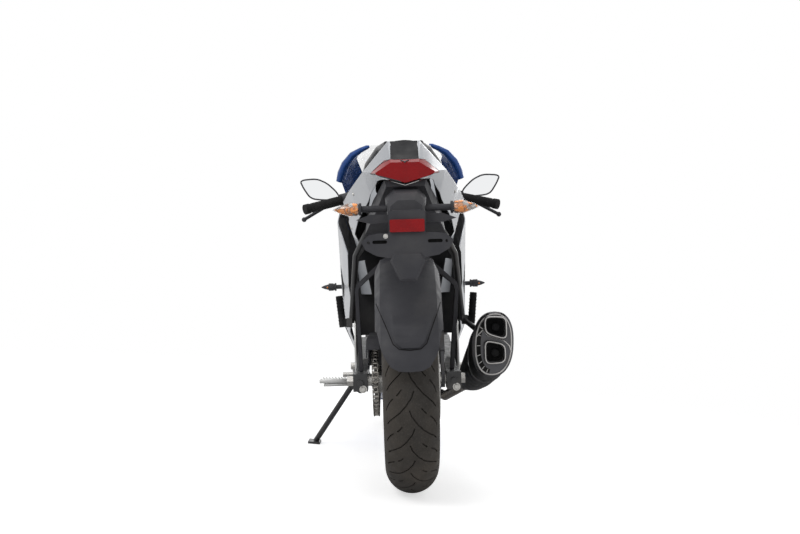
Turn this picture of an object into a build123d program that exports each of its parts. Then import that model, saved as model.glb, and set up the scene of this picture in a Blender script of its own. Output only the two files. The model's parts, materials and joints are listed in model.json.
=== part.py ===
from build123d import *
from math import asin, atan2, cos, pi, radians, sin, sqrt
import os

# Small fully faired sport bike, about 150 cc, parked on its side stand.
# Millimetres. Every piece is drawn on the upright machine: X to its right, Y forward, Z up,
# origin on the ground under the rear axle. STANCE then leans the whole machine onto its stand.

# ---- driving dimensions -------------------------------------------------------------------
WHEELBASE = 1330.0
FRONT_AXLE_Y = 1330.0  # ahead of the drawing's origin
LEAN = 7.0  # degrees to the left, on the side stand

REAR_R = 300.0
REAR_W = 140.0
FRONT_R = 296.0
FRONT_W = 100.0
BEAD_R = 216.0  # 17 inch bead seat
RIM_FLANGE = 10.0
RIM_DEPTH = 26.0
HUB_R = 34.0
HUB_BORE_R = 26.0  # inside the sprocket's and the discs' carriers
SPOKE_PAIRS = 3
CROWN_FLATS = 3  # flats on each side of a tyre's crown
AXLE_R = 9.0
BEARING_GAP = 0.05

RAKE = 25.0  # degrees from vertical
FORK_OFFSET = 37.0
FORK_X = 97.0  # half the distance between the legs
STANCHION_R = 20.5
SLIDER_R = 27.0
SLIDER_LEN = 330.0
STEM_R = 15.0
HEAD_TUBE_R = 31.0
# distances up the steering axis from its point nearest the front axle
LOWER_YOKE_S = 470.0
UPPER_YOKE_S = 648.0
BAR_CLAMP_S = 676.0
STANCHION_TOP_S = 700.0
YOKE_T = 26.0

CHAIN_X = -90.0
CHAIN_PITCH = 12.7
REAR_TEETH = 45
FRONT_TEETH = 15
CHAIN_W = 17.0
CHAIN_PLATE_T = 3.6
PIN_RISE = 6.0  # half height of a link plate at a pin, and at its waist
WAIST_RISE = 4.2
ROLLER_RISE = 0.6  # roof of the groove that the sprockets' teeth run in
SEAT_GAP = 0.3  # between pieces that seat on each other
ENGINE_TUBE = (600.0, 256.0)
ENGINE_TUBE_R = 10.0

# places in the side view: Y and Z
FRONT_SPROCKET = (578.0, 362.0)
PIVOT = (500.0, 362.0)

SHOCK_HEAD = (480.0, 634.0)

ARM_T = 32.0
LEFT_ARM_X = -130.0
RIGHT_ARM_X = 117.0
AXLE_BLOCK_H = 46.0
BOBBIN = (-46.0, -13.0)  # from the rear axle
BOBBIN_R = 4.0
PLATE_HOLE = (90.0, -406.0, 653.0)
PLATE_HOLE_R = 3.5
PLATE_T = 6.0
REFLECTOR_Z = 690.0
REFLECTOR_W = 80.0
BOBBIN_DEEP = 14.0
DISC_T = 4.5
REAR_DISC_R = 110.0
FRONT_DISC_R = 133.0
REAR_DISC_X = 76.0
FRONT_DISC_X = 61.0

PIVOT_PLATE_X = 150.0
PIVOT_PLATE_T = 8.0
HANGER_T = 6.0
PEG_R = 12.0
PEG_YZ = (470.0, 258.0)

STAND_PIVOT = Vector(-178, 600, 235)
STAND_LEN = 245.0
STAND_AHEAD = 50.0  # how far the deployed foot stands ahead of its pivot
STAND_FOLDED = Vector(-8, -243, -30)  # direction from the pivot to the folded foot
STAND_PIN_R = 8.0

SKIN = 4.0  # moulded panel thickness
GAP = 0.8  # gap between neighbouring panels

os.makedirs("parts", exist_ok=True)

# ---- directions and shared helpers ---------------------------------------------------------
rake = radians(RAKE)
lean = radians(LEAN)
UP = Vector(0, -sin(rake), cos(rake))  # up the steering axis
FWD = Vector(0, cos(rake), sin(rake))  # forward, square to it
RIGHT = Vector(1, 0, 0)
FRONT_AXLE = Vector(0, FRONT_AXLE_Y, FRONT_R)
REAR_Y = FRONT_AXLE_Y - WHEELBASE
REAR_AXLE = Vector(0, REAR_Y, REAR_R)
STEER_FOOT = FRONT_AXLE - FWD * FORK_OFFSET
FLOOR_NORMAL = Vector(sin(lean), 0, cos(lean))  # the floor's upward normal, seen from the upright machine

pieces = {}


def across(y):
    """Cross-section plane at a distance y ahead of the rear axle: local X and Z, facing rearward."""
    return Plane.XZ.offset(-y)


def along(x):
    """Side-view plane at x: local Y and Z, facing right."""
    return Plane.YZ.offset(x)


def round_wheel(axle, turn):
    """Half-plane through an axle, turned rearward by an angle from straight up."""
    a = radians(turn)
    return Plane(origin=axle, x_dir=(1, 0, 0), z_dir=(0, -cos(a), -sin(a)))


def steer_point(x, ahead, up):
    """A point given square to and along the steering axis."""
    return STEER_FOOT + RIGHT * x + FWD * ahead + UP * up


def rod(a, b, radius, mode=Mode.ADD):
    """A round bar between two points."""
    a = Vector(*a)
    b = Vector(*b)
    with Locations(Plane(origin=a, z_dir=b - a)):
        Cylinder(radius, (b - a).length, align=(Align.CENTER, Align.CENTER, Align.MIN), mode=mode)


def bar(points, radius):
    """A bent round bar: straight runs with a ball at each corner."""
    for a, b in zip(points, points[1:]):
        rod(a, b, radius)
    for p in points[1:-1]:
        with Locations(Vector(*p)):
            Sphere(radius)


def mirror_point(p):
    """The same point on the other side of the machine."""
    return Vector(-p.X, p.Y, p.Z)


def mirrored(points):
    """A right-hand outline from top to bottom, closed by its mirror image."""
    return list(points) + [(-x, z) for x, z in reversed(points)]


# ---- wheels -------------------------------------------------------------------------------
# name: axle, outer radius, width, half width between the bead seats, half length of the hub
WHEELS = {
    "rear": (REAR_AXLE, REAR_R, REAR_W, 52.0, 62.0),
    "front": (FRONT_AXLE, FRONT_R, FRONT_W, 38.0, 50.0),
}
crowns = {}
for name, (axle, radius, width, seat, hub) in WHEELS.items():
    half = width / 2
    widest = BEAD_R + RIM_FLANGE + 14
    sag = radius - widest
    crown = (half**2 + sag**2) / (2 * sag)
    crowns[name] = crown
    shoulder = asin(half / crown) if sag < crown else pi / 2
    # the tread's crown in flats, the first ending where the leaned tyre meets the floor
    bend = [lean + (shoulder - lean) * k / CROWN_FLATS for k in range(CROWN_FLATS + 1)]
    tread = [(crown * sin(a), radius - crown + crown * cos(a)) for a in bend]
    with BuildPart() as tyre:
        with BuildSketch(round_wheel(axle, 0)):
            with BuildLine():
                Polyline(*mirrored([*tread, (seat, BEAD_R + RIM_FLANGE), (seat, BEAD_R)]), close=True)
            make_face()
        revolve(axis=Axis(axle, (1, 0, 0)))
    pieces[name + "_tyre"] = tyre

    flange = seat + 5
    with BuildPart() as rim:
        with BuildSketch(round_wheel(axle, 0)):
            with BuildLine():
                Polyline(
                    (seat, BEAD_R),
                    (seat, BEAD_R + RIM_FLANGE),
                    (flange, BEAD_R + RIM_FLANGE),
                    (flange, BEAD_R - 6),
                    (0.45 * seat, BEAD_R - RIM_DEPTH),
                    (-0.45 * seat, BEAD_R - RIM_DEPTH),
                    (-flange, BEAD_R - 6),
                    (-flange, BEAD_R + RIM_FLANGE),
                    (-seat, BEAD_R + RIM_FLANGE),
                    (-seat, BEAD_R),
                    close=True,
                )
            make_face()
        revolve(axis=Axis(axle, (1, 0, 0)))
        with BuildSketch(Plane(origin=axle, z_dir=(1, 0, 0))):
            for turn in range(SPOKE_PAIRS):
                for side in (-1, 1):
                    a = radians(360 / SPOKE_PAIRS * turn + side * 9)
                    b = radians(360 / SPOKE_PAIRS * turn + side * 21)
                    root = Vector(cos(a), sin(a)) * (HUB_R - 6)
                    tip = Vector(cos(b), sin(b)) * (BEAD_R - RIM_DEPTH + 5)
                    broad = (tip - root).normalized().rotate(Axis.Z, 90)
                    with BuildLine():
                        ends = (root + broad * 15, tip + broad * 11, tip - broad * 11, root - broad * 15)
                        Polyline(*ends, close=True)
                    make_face()
        extrude(amount=13, both=True)
        with Locations(Plane(origin=axle, z_dir=(1, 0, 0))):
            Cylinder(HUB_R, 2 * hub)
            Cylinder(AXLE_R + BEARING_GAP, 2 * hub + 10, mode=Mode.SUBTRACT)
    pieces[name + "_rim"] = rim

# brake discs, each carried by its hub's right end
for name, x, radius in (("rear", REAR_DISC_X, REAR_DISC_R), ("front", FRONT_DISC_X, FRONT_DISC_R)):
    axle = WHEELS[name][0]
    hub = WHEELS[name][4]
    with BuildPart() as disc:
        with BuildSketch(Plane(origin=axle + RIGHT * (x - DISC_T / 2), z_dir=(1, 0, 0))):
            Circle(radius)
            Circle(radius - 34, mode=Mode.SUBTRACT)
            with PolarLocations((radius + HUB_R - 28) / 2, 6):
                Rectangle(radius - HUB_R - 32, 12)
            Circle(HUB_R + 6)
            Circle(HUB_BORE_R, mode=Mode.SUBTRACT)
            with PolarLocations(radius - 17, 18):
                Circle(4.5, mode=Mode.SUBTRACT)
        extrude(amount=DISC_T)
        with BuildSketch(Plane(origin=axle + RIGHT * hub, z_dir=(1, 0, 0))):
            Circle(HUB_R)
            Circle(HUB_BORE_R, mode=Mode.SUBTRACT)
        extrude(amount=x - DISC_T / 2 - hub)
    pieces[name + "_disc"] = disc

# ---- final drive --------------------------------------------------------------------------
rear_pitch_r = CHAIN_PITCH / (2 * sin(pi / REAR_TEETH))
front_pitch_r = CHAIN_PITCH / (2 * sin(pi / FRONT_TEETH))
# a tooth's outline: share of a tooth's turn, height against the pitch circle
TOOTH = ((0.0, -6.0), (0.3, -6.0), (0.5, -1.5), (0.7, -6.0))
SPROCKET_T = 6.0

with BuildPart() as rear_sprocket:
    with BuildSketch(Plane(origin=REAR_AXLE + RIGHT * (CHAIN_X - SPROCKET_T / 2), z_dir=(1, 0, 0))):
        with BuildLine():
            outline = []
            for k in range(REAR_TEETH):
                for share, rise in TOOTH:
                    a = 2 * pi * (k + share) / REAR_TEETH
                    outline.append(Vector(cos(a), sin(a)) * (rear_pitch_r + rise))
            Polyline(*outline, close=True)
        make_face()
        with PolarLocations(rear_pitch_r * 0.63, 5):
            Circle(17, mode=Mode.SUBTRACT)
        Circle(HUB_BORE_R, mode=Mode.SUBTRACT)
    extrude(amount=SPROCKET_T)
    hub = WHEELS["rear"][4]
    with BuildSketch(Plane(origin=REAR_AXLE - RIGHT * hub, z_dir=(-1, 0, 0))):
        Circle(HUB_R)
        Circle(HUB_BORE_R, mode=Mode.SUBTRACT)
    extrude(amount=-CHAIN_X - SPROCKET_T / 2 - hub)
pieces["rear_sprocket"] = rear_sprocket

span = Vector(FRONT_SPROCKET[0] - REAR_Y, FRONT_SPROCKET[1] - REAR_R)  # from the rear axle, in the side view
open_angle = asin((rear_pitch_r - front_pitch_r) / span.length)
chain_tilt = atan2(span.Y, span.X)
run = span.length * cos(open_angle)


def chain_path(step_count):
    """Points along the chain's pitch line, evenly spaced, each with its outward direction."""
    top = chain_tilt + pi / 2 - open_angle
    low = chain_tilt - pi / 2 + open_angle
    wraps = ((pi - 2 * open_angle) * front_pitch_r, (pi + 2 * open_angle) * rear_pitch_r)
    total = 2 * run + sum(wraps)
    path = []
    for k in range(step_count):
        s = total * k / step_count
        if s < run:
            out = Vector(cos(top), sin(top))
            p = out * rear_pitch_r + Vector(sin(top), -cos(top)) * s
        elif s < run + wraps[0]:
            a = top - (s - run) / front_pitch_r
            out = Vector(cos(a), sin(a))
            p = span + out * front_pitch_r
        elif s < 2 * run + wraps[0]:
            out = Vector(cos(low), sin(low))
            p = span + out * front_pitch_r + Vector(sin(low), -cos(low)) * (s - run - wraps[0])
        else:
            a = low - (s - 2 * run - wraps[0]) / rear_pitch_r
            out = Vector(cos(a), sin(a))
            p = out * rear_pitch_r
        path.append((p + Vector(REAR_Y, REAR_R), out))
    return path


chain_length = 2 * run + (pi - 2 * open_angle) * front_pitch_r + (pi + 2 * open_angle) * rear_pitch_r
link_count = 2 * round(chain_length / CHAIN_PITCH / 2)
half_links = chain_path(2 * link_count)


def belt(rise):
    """Outline of a smooth belt round both sprockets, at a height against the pitch line."""
    starts = [tangent * (pitch_r + rise) for pitch_r in (rear_pitch_r, front_pitch_r) for tangent in TANGENTS]
    rear_top, rear_low, front_top, front_low = starts
    axle = Vector(REAR_Y, REAR_R)
    sprocket = Vector(*FRONT_SPROCKET)
    forward = span.normalized()
    Line(axle + rear_top, sprocket + front_top)
    ThreePointArc(sprocket + front_top, sprocket + forward * (front_pitch_r + rise), sprocket + front_low)
    Line(sprocket + front_low, axle + rear_low)
    ThreePointArc(axle + rear_low, axle - forward * (rear_pitch_r + rise), axle + rear_top)


TANGENTS = [
    Vector(cos(chain_tilt + side * (pi / 2 - open_angle)), sin(chain_tilt + side * (pi / 2 - open_angle)))
    for side in (1, -1)
]
with BuildPart() as chain:
    with BuildSketch(along(CHAIN_X - CHAIN_W / 2)):
        with BuildLine():
            Polyline(
                *[p + out * (WAIST_RISE if k % 2 else PIN_RISE) for k, (p, out) in enumerate(half_links)],
                close=True,
            )
        make_face()
        with BuildLine():
            belt(-PIN_RISE)
        make_face(mode=Mode.SUBTRACT)
    extrude(amount=CHAIN_W)
    # groove between the side plates, for the sprockets' teeth
    with BuildSketch(along(CHAIN_X - CHAIN_W / 2 + CHAIN_PLATE_T)):
        with BuildLine():
            belt(ROLLER_RISE)
        make_face()
    extrude(amount=CHAIN_W - 2 * CHAIN_PLATE_T, mode=Mode.SUBTRACT)
pieces["chain"] = chain

# ---- swingarm, rear axle and suspension ----------------------------------------------------
BLOCK_HALF = ARM_T / 2 + 3
CROSS_Y = (REAR_Y + REAR_R + PIVOT[0]) / 2  # midway between the tyre and the pivot
SHOCK_FOOT = Vector(0, CROSS_Y - 4, PIVOT[1] + 40)
with BuildPart() as swingarm:
    for x in (LEFT_ARM_X, RIGHT_ARM_X):
        with BuildSketch(along(x - ARM_T / 2)):
            with BuildLine():
                Polyline(
                    (REAR_Y - 60, REAR_R - 18),
                    (REAR_Y - 60, REAR_R + 18),
                    (REAR_Y + 60, REAR_R + 24),
                    (PIVOT[0] - 70, PIVOT[1] + 34),
                    (PIVOT[0] + 24, PIVOT[1] + 24),
                    (PIVOT[0] + 24, PIVOT[1] - 24),
                    (PIVOT[0] - 70, PIVOT[1] - 32),
                    (REAR_Y + 60, REAR_R - 26),
                    close=True,
                )
            make_face()
        extrude(amount=ARM_T)
        # axle block with its adjuster bolt proud of the arm's rear end
        with Locations((x, REAR_Y - 28, REAR_R)):
            Box(2 * BLOCK_HALF, 76, AXLE_BLOCK_H)
        rod((x, REAR_Y - 66, REAR_R), (x, REAR_Y - 78, REAR_R), 8.5)
    # cross member between the chain's two runs
    with Locations(((LEFT_ARM_X + RIGHT_ARM_X) / 2, CROSS_Y, PIVOT[1] - 18)):
        Box(RIGHT_ARM_X - LEFT_ARM_X - ARM_T + 4, 56, 66)
    rod((LEFT_ARM_X, *PIVOT), (RIGHT_ARM_X, *PIVOT), 17)
    for x in (-20, 20):
        with Locations((x, SHOCK_FOOT.Y, SHOCK_FOOT.Z - 10)):
            Box(8, 34, 48)
    rod((-200, *PIVOT), (200, *PIVOT), AXLE_R + BEARING_GAP, mode=Mode.SUBTRACT)
    rod((-200, REAR_Y, REAR_R), (200, REAR_Y, REAR_R), AXLE_R + BEARING_GAP, mode=Mode.SUBTRACT)
    # threads for a paddock stand's bobbins
    bobbin = (REAR_Y + BOBBIN[0], REAR_R + BOBBIN[1])
    for x, out in ((LEFT_ARM_X - BLOCK_HALF, -1), (RIGHT_ARM_X + BLOCK_HALF, 1)):
        rod((x + out, *bobbin), (x - out * BOBBIN_DEEP, *bobbin), BOBBIN_R, mode=Mode.SUBTRACT)
pieces["swingarm"] = swingarm

with BuildPart() as rear_axle:
    rod((-168, REAR_Y, REAR_R), (150, REAR_Y, REAR_R), AXLE_R)
    for x0, x1 in ((-168, LEFT_ARM_X - BLOCK_HALF), (RIGHT_ARM_X + BLOCK_HALF, 150)):
        with BuildSketch(along(x0)):
            with Locations((REAR_Y, REAR_R)):
                RegularPolygon(15, 6)
        extrude(amount=x1 - x0)
    hub = WHEELS["rear"][4] + 0.5
    rod((LEFT_ARM_X + BLOCK_HALF, REAR_Y, REAR_R), (-hub, REAR_Y, REAR_R), 15)
    rod((hub, REAR_Y, REAR_R), (RIGHT_ARM_X - BLOCK_HALF, REAR_Y, REAR_R), 15)
pieces["rear_axle"] = rear_axle

with BuildPart() as shock_absorber:
    foot = SHOCK_FOOT
    head = Vector(0, *SHOCK_HEAD)
    shaft = (head - foot).normalized()
    rod(foot, head, 9)
    rod((-16, foot.Y, foot.Z), (16, foot.Y, foot.Z), 13)
    rod((-18, *SHOCK_HEAD), (18, *SHOCK_HEAD), 13)
    rod(foot + shaft * 26, foot + shaft * 34, 27)
    rod(head - shaft * 62, head - shaft * 20, 25)
    for turn in range(6):
        rod(foot + shaft * (40 + 24 * turn), foot + shaft * (49 + 24 * turn), 27)
    rod(foot + shaft * 34, head - shaft * 62, 19.5)
pieces["shock_absorber"] = shock_absorber

with BuildPart() as chain_guard:
    GUARD_LINE = (
        (REAR_Y - 112, REAR_R + 92),
        (REAR_Y - 70, REAR_R + 112),
        (REAR_Y + 60, REAR_R + 114),
        (PIVOT[0] - 70, PIVOT[1] + 52),
    )
    for x, width, drop in ((-112, 36, 3.5), (-112, 3.5, 24)):
        with BuildSketch(along(x)):
            with BuildLine():
                Polyline(*GUARD_LINE, *[(y, z - drop) for y, z in reversed(GUARD_LINE)], close=True)
            make_face()
        extrude(amount=width)
    with Locations((-112.2, REAR_Y + 150, REAR_R + 64)):
        Box(3.6, 40, 64)
pieces["chain_guard"] = chain_guard

# outline of the hugger's cross-section: half width, height over the tyre
HUGGER = ((40, 35), (70, 24), (84, -6))
HUGGER_RAISE = 6.0
LEG_FOOT = 24.0  # how far above the axle the hugger's legs end
# seen from behind, from the bottom up: half width, height against the axle
HUGGER_LIP = ((0, 47), (28, 49), (47, 59), (61, 80), (69, 97), (79, 140), (110, 150))
HUGGER_PANEL = ((0, 104), (20, 104), (35, 117), (61, 184), (76, 213), (110, 240))


# height over the tyre, angle ahead of the top where it begins, arc rearward, edge that trims it
HUGGER_BANDS = ((HUGGER_RAISE, 20, 58, HUGGER_PANEL), (0, -18, 100, HUGGER_LIP))
hugger_parts = []
for rise, begin, arc, edge in HUGGER_BANDS:
    right = [(x, REAR_R + z + rise) for x, z in HUGGER]
    outer = [(-x, r) for x, r in reversed(right)] + right
    inner = [(x * 0.955, r - SKIN - rise) for x, r in outer]
    below = [(x, REAR_R + z) for x, z in edge]
    below.append((below[-1][0], REAR_R - 10))
    with BuildPart() as band:
        with BuildSketch(round_wheel(REAR_AXLE, begin)):
            with BuildLine():
                Polyline(*outer, *reversed(inner), close=True)
            make_face()
        revolve(axis=Axis(REAR_AXLE, (1, 0, 0)), revolution_arc=arc)
        # what hangs below the edge is cut away
        with BuildSketch(across(REAR_Y - 180)):
            with BuildLine():
                Polyline(*below, *[(-x, z) for x, z in reversed(below[1:])], close=True)
            make_face()
        extrude(amount=220, mode=Mode.SUBTRACT)
    hugger_parts.append(band.part)

with BuildPart() as rear_hugger:
    for shell in hugger_parts:
        add(shell)
    # legs from the hugger's shoulders down to the axle blocks
    for x_foot in (LEFT_ARM_X, RIGHT_ARM_X):
        side = 1 if x_foot > 0 else -1
        foot_x = abs(x_foot)
        # heights against the axle: its head hangs from the shoulder, its foot stands on the block
        leg = (
            (72, REAR_R + 18),
            (136, REAR_R - 40),
            (141, REAR_R - 58),
            (foot_x + 5, LEG_FOOT),
            (foot_x - 5, LEG_FOOT),
            (131, REAR_R - 60),
            (127, REAR_R - 48),
            (79, REAR_R - 6),
        )
        with BuildSketch(across(REAR_Y + 52)):
            with BuildLine():
                Polyline(*[(side * x, REAR_R + z) for x, z in leg], close=True)
            make_face()
        extrude(amount=42)
pieces["rear_hugger"] = rear_hugger

with BuildPart() as rear_caliper:
    with BuildSketch(along(60)):
        with Locations(Location((REAR_Y + 34, REAR_R + 88), -21)):
            Rectangle(78, 58)
        fillet(vertices(), 9)
    extrude(amount=37)
    rod((86, REAR_Y, REAR_R), (95, REAR_Y, REAR_R), 24)
    with BuildSketch(along(86)):
        with BuildLine():
            plate = [(70, 72), (-4, 96), (-20, 0), (0, -20), (20, 0)]
            Polyline(*[(REAR_Y + y, REAR_R + z) for y, z in plate], close=True)
        make_face()
    extrude(amount=9)
    with Locations((REAR_DISC_X, REAR_Y, REAR_R)):
        Cylinder(REAR_DISC_R + 4, DISC_T + 11, rotation=(0, 90, 0), mode=Mode.SUBTRACT)
    rod((40, REAR_Y, REAR_R), (110, REAR_Y, REAR_R), 15.3, mode=Mode.SUBTRACT)
pieces["rear_caliper"] = rear_caliper

# ---- frame ---------------------------------------------------------------------------------
HEAD_LOW = steer_point(0, 0, LOWER_YOKE_S + YOKE_T / 2 + 2)
HEAD_TOP = steer_point(0, 0, UPPER_YOKE_S - YOKE_T / 2 - 2)
SPINE_HEAD = (HEAD_LOW + HEAD_TOP) * 0.5 - UP * 12
SPINE_END = Vector(0, 560, 706)
SPINE_R = 24.0

with BuildPart() as main_frame:
    rod(HEAD_LOW, HEAD_TOP, HEAD_TUBE_R)
    bar([SPINE_HEAD, SPINE_END], SPINE_R)
    bar([HEAD_LOW + UP * 54, Vector(0, 985, 600), Vector(0, 905, 470), Vector(0, 850, 455)], 18)
    for side in (-1, 1):
        knee = Vector(side * 128, 520, 640)
        plate_end = Vector(side * (PIVOT_PLATE_X - 10), 500, 440)
        bar([SPINE_END, knee, Vector(side * 128, 500, 480), plate_end], 15)
        # seat rails with their struts
        rail = [(60, 430, 728), (60, 200, 742), (60, 60, 812), (26, -196, 850)]
        bar([SPINE_END, *[Vector(side * x, y, z) for x, y, z in rail]], 11)
        rod((side * 126, 520, 620), (side * 60, 240, 738), 9)
        with BuildSketch(along(side * PIVOT_PLATE_X if side > 0 else -PIVOT_PLATE_X - PIVOT_PLATE_T)):
            with BuildLine():
                web = ((465, 470), (540, 470), (575, 400), (622, 300), (622, 204), (580, 204), (470, 300))
                Polyline(*web, close=True)
            make_face()
            fillet(vertices(), 10)
        extrude(amount=PIVOT_PLATE_T)
        with BuildSketch(along(side * 18 if side > 0 else -26)):
            with BuildLine():
                Polyline((466, 620), (466, 650), (516, 668), (532, 650), (524, 630), (494, 618), close=True)
            make_face()
        extrude(amount=8)
    rod((-128, 520, 646), (128, 520, 646), 14)
    pivot_end = PIVOT_PLATE_X + PIVOT_PLATE_T
    rod((-pivot_end, *PIVOT), (pivot_end, *PIVOT), AXLE_R)
    rod((-PIVOT_PLATE_X, *ENGINE_TUBE), (PIVOT_PLATE_X, *ENGINE_TUBE), ENGINE_TUBE_R)
    rod(steer_point(0, 0, 400), steer_point(0, 0, 700), STEM_R + BEARING_GAP, mode=Mode.SUBTRACT)
pieces["main_frame"] = main_frame

# rider's footrest plates, bolted to the outside of the pivot plates
PLATE_OUT = PIVOT_PLATE_X + PIVOT_PLATE_T
HANGER = ((462, 455), (520, 455), (536, 350), (530, 262), (500, 240), (448, 240), (430, 262), (438, 380))
with BuildPart() as footrest_plates:
    for side in (-1, 1):
        with BuildSketch(along(PLATE_OUT if side > 0 else -PLATE_OUT - HANGER_T)):
            with BuildLine():
                Polyline(*HANGER, close=True)
            make_face()
            fillet(vertices(), 9)
            with Locations((488, 300)):
                SlotOverall(60, 26, rotation=80, mode=Mode.SUBTRACT)
        extrude(amount=HANGER_T)
pieces["footrest_plates"] = footrest_plates

with BuildPart() as rider_pegs:
    for side in (-1, 1):
        rod((side * (PLATE_OUT + HANGER_T), *PEG_YZ), (side * 276, *PEG_YZ), PEG_R)
        with Locations((side * 270, PEG_YZ[0], PEG_YZ[1] - 16)):
            Cylinder(4, 24)
pieces["rider_pegs"] = rider_pegs

PILLION_PIVOT = (150.0, 452.0)
with BuildPart() as pillion_hangers:
    for side in (-1, 1):
        for y_top, z_top in ((70, 793), (180, 740)):
            bar(
                [
                    Vector(side * 62, y_top, z_top),
                    Vector(side * 140, (y_top + 150) / 2, 640),
                    Vector(side * 158, *PILLION_PIVOT),
                ],
                8,
            )
        with Locations((side * 164, *PILLION_PIVOT)):
            Box(16, 30, 26)
    add(main_frame.part, mode=Mode.SUBTRACT)
pieces["pillion_hangers"] = pillion_hangers

with BuildPart() as pillion_pegs:
    for side in (-1, 1):
        low = (side * 183, PILLION_PIVOT[0], PILLION_PIVOT[1] - 12)
        rod(low, (side * 192, PILLION_PIVOT[0] + 8, 528), 10)
        with Locations((side * 176, *PILLION_PIVOT)):
            Box(8, 22, 22)
pieces["pillion_pegs"] = pillion_pegs

with BuildPart() as foot_levers:
    # gear lever on the left, brake pedal on the right
    for side, toe_y, toe_z, heel_z in ((-1, 640, 262, 300), (1, 650, 268, 292)):
        x = side * (PLATE_OUT + HANGER_T + 9)
        pivot = Vector(x, 515, heel_z)
        bar([pivot, Vector(x, 560, heel_z - 8), Vector(x, toe_y, toe_z)], 6)
        rod(Vector(x - side * 9, 515, heel_z), Vector(x + side * 7, 515, heel_z), 11)
        rod((x, toe_y, toe_z), (x + side * 40, toe_y, toe_z), 8)
pieces["foot_levers"] = foot_levers

# ---- engine --------------------------------------------------------------------------------
CYLINDER_TILT = 18.0
COVER_X = 108.0
with BuildPart() as engine:
    with BuildSketch(along(-COVER_X)):
        with BuildLine():
            crankcase = ((545, 300), (545, 440), (600, 470), (700, 470), (815, 430), (838, 360), (815, 262), (640, 284))
            Polyline(*crankcase, close=True)
        make_face()
        fillet(vertices(), 14)
    extrude(amount=2 * COVER_X)
    # room for the front sprocket, open to the left and rear
    with Locations((CHAIN_X - 10, 570, FRONT_SPROCKET[1])):
        Box(60, 100, 100, mode=Mode.SUBTRACT)
    rod((-104, *FRONT_SPROCKET), (-50, *FRONT_SPROCKET), 10)
    root_r = front_pitch_r + ROLLER_RISE - SEAT_GAP
    rod((CHAIN_X - 3, *FRONT_SPROCKET), (CHAIN_X + 3, *FRONT_SPROCKET), root_r)
    # lugs round the frame's lower cross tube
    for x in (-40, 40):
        with Locations((x, ENGINE_TUBE[0], ENGINE_TUBE[1] + 17)):
            Box(16, 36, 62)
    rod((-60, *ENGINE_TUBE), (60, *ENGINE_TUBE), ENGINE_TUBE_R + SEAT_GAP, mode=Mode.SUBTRACT)
    # round covers: clutch on the right, alternator on the left
    for x, y, z, r in ((COVER_X, 655, 362, 76), (-COVER_X, 752, 350, 62)):
        out = 1 if x > 0 else -1
        with Locations(Plane(origin=(x, y, z), z_dir=(out, 0, 0))):
            Cylinder(r, 24, align=(Align.CENTER, Align.CENTER, Align.MIN))
            Cylinder(r * 0.62, 30, align=(Align.CENTER, Align.CENTER, Align.MIN))
    tilt = radians(CYLINDER_TILT)
    barrel = Plane(origin=(0, 745, 440), x_dir=(1, 0, 0), z_dir=(0, sin(tilt), cos(tilt)))
    with Locations(barrel):
        Box(96, 96, 190, align=(Align.CENTER, Align.CENTER, Align.MIN))
    with Locations(*[barrel.offset(30 + 11 * k) for k in range(9)]):
        Box(132, 128, 5)
    with Locations(barrel.offset(152)):
        Box(124, 116, 44)
pieces["engine"] = engine

with BuildPart() as sprocket_cover:
    with BuildSketch(along(-120)):
        with BuildLine():
            Polyline((618, 300), (552, 306), (552, 418), (618, 426), close=True)
        make_face()
        fillet(vertices(), 10)
    extrude(amount=12)
    with BuildSketch(along(-116)):
        with BuildLine():
            Polyline((640, 308), (552, 314), (552, 410), (640, 418), close=True)
        make_face()
    extrude(amount=11, mode=Mode.SUBTRACT)
pieces["sprocket_cover"] = sprocket_cover

radiator_up = (Vector(0, 985, 600) - Vector(0, 905, 470)).normalized()
radiator_out = Vector(0, radiator_up.Z, -radiator_up.Y)
with BuildPart() as radiator:
    core = Plane(
        origin=Vector(0, 945, 535) + radiator_out * 29.3,
        x_dir=(1, 0, 0),
        z_dir=radiator_out,
    )
    with Locations(core):
        Box(210, 170, 22)
        for side in (-1, 1):
            with Locations((side * 117, 0, 0)):
                Box(24, 180, 28)
pieces["radiator"] = radiator

# ---- exhaust -------------------------------------------------------------------------------
PIPE_R = 15.0
PIPE = (
    Vector(36, 847.2, 566.7),
    Vector(36, 878, 556.7),
    Vector(56, 874, 300),
    Vector(58, 820, 224),
    Vector(64, 640, 214),
    Vector(118, 484, 200),
    Vector(168, 392, 238),
    Vector(174, 340, 262),
)

# muffler sections: y, centre x, centre z, half width, half height
MUFFLER = (
    (340, 176, 266, 22, 24),
    (240, 192, 302, 37, 48),
    (60, 208, 350, 45, 70),
    (-114, 217, 395, 48, 79),
)
# outlets: centre x, centre z, half width, half height
OUTLETS = ((222, 437, 21, 23), (218, 374, 19, 23))
OUTLET_DEEP = 60.0
OUTLET_WALL = 4.0
END_CAP_T = 14.0


def muffler_outline(cx, cz, w, h):
    """Tall rounded cross-section, leaning outward at its middle."""
    share = (
        (0.3, 1), (0.72, 0.84), (0.96, 0.5), (1, 0.15), (0.9, -0.3), (0.62, -0.78), (0.2, -1),
        (-0.4, -1), (-0.82, -0.78), (-1, -0.35), (-1, 0.4), (-0.8, 0.8), (-0.35, 1),
    )
    return [(cx + a * w, cz + b * h) for a, b in share]


def outlet_sketch(shrink):
    """The outlets' rounded openings, narrowed by shrink each side."""
    for cx, cz, w, h in OUTLETS:
        with Locations((cx, cz)):
            RectangleRounded(2 * (w - shrink), 2 * (h - shrink), 14 - shrink)


with BuildPart() as muffler:
    for y, cx, cz, w, h in MUFFLER:
        with BuildSketch(across(y)):
            with BuildLine():
                Polyline(*muffler_outline(cx, cz, w, h), close=True)
            make_face()
    loft(ruled=True)
    with BuildSketch(across(MUFFLER[-1][0])):
        outlet_sketch(OUTLET_WALL)
    extrude(amount=-OUTLET_DEEP, mode=Mode.SUBTRACT)
pieces["muffler"] = muffler

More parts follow.
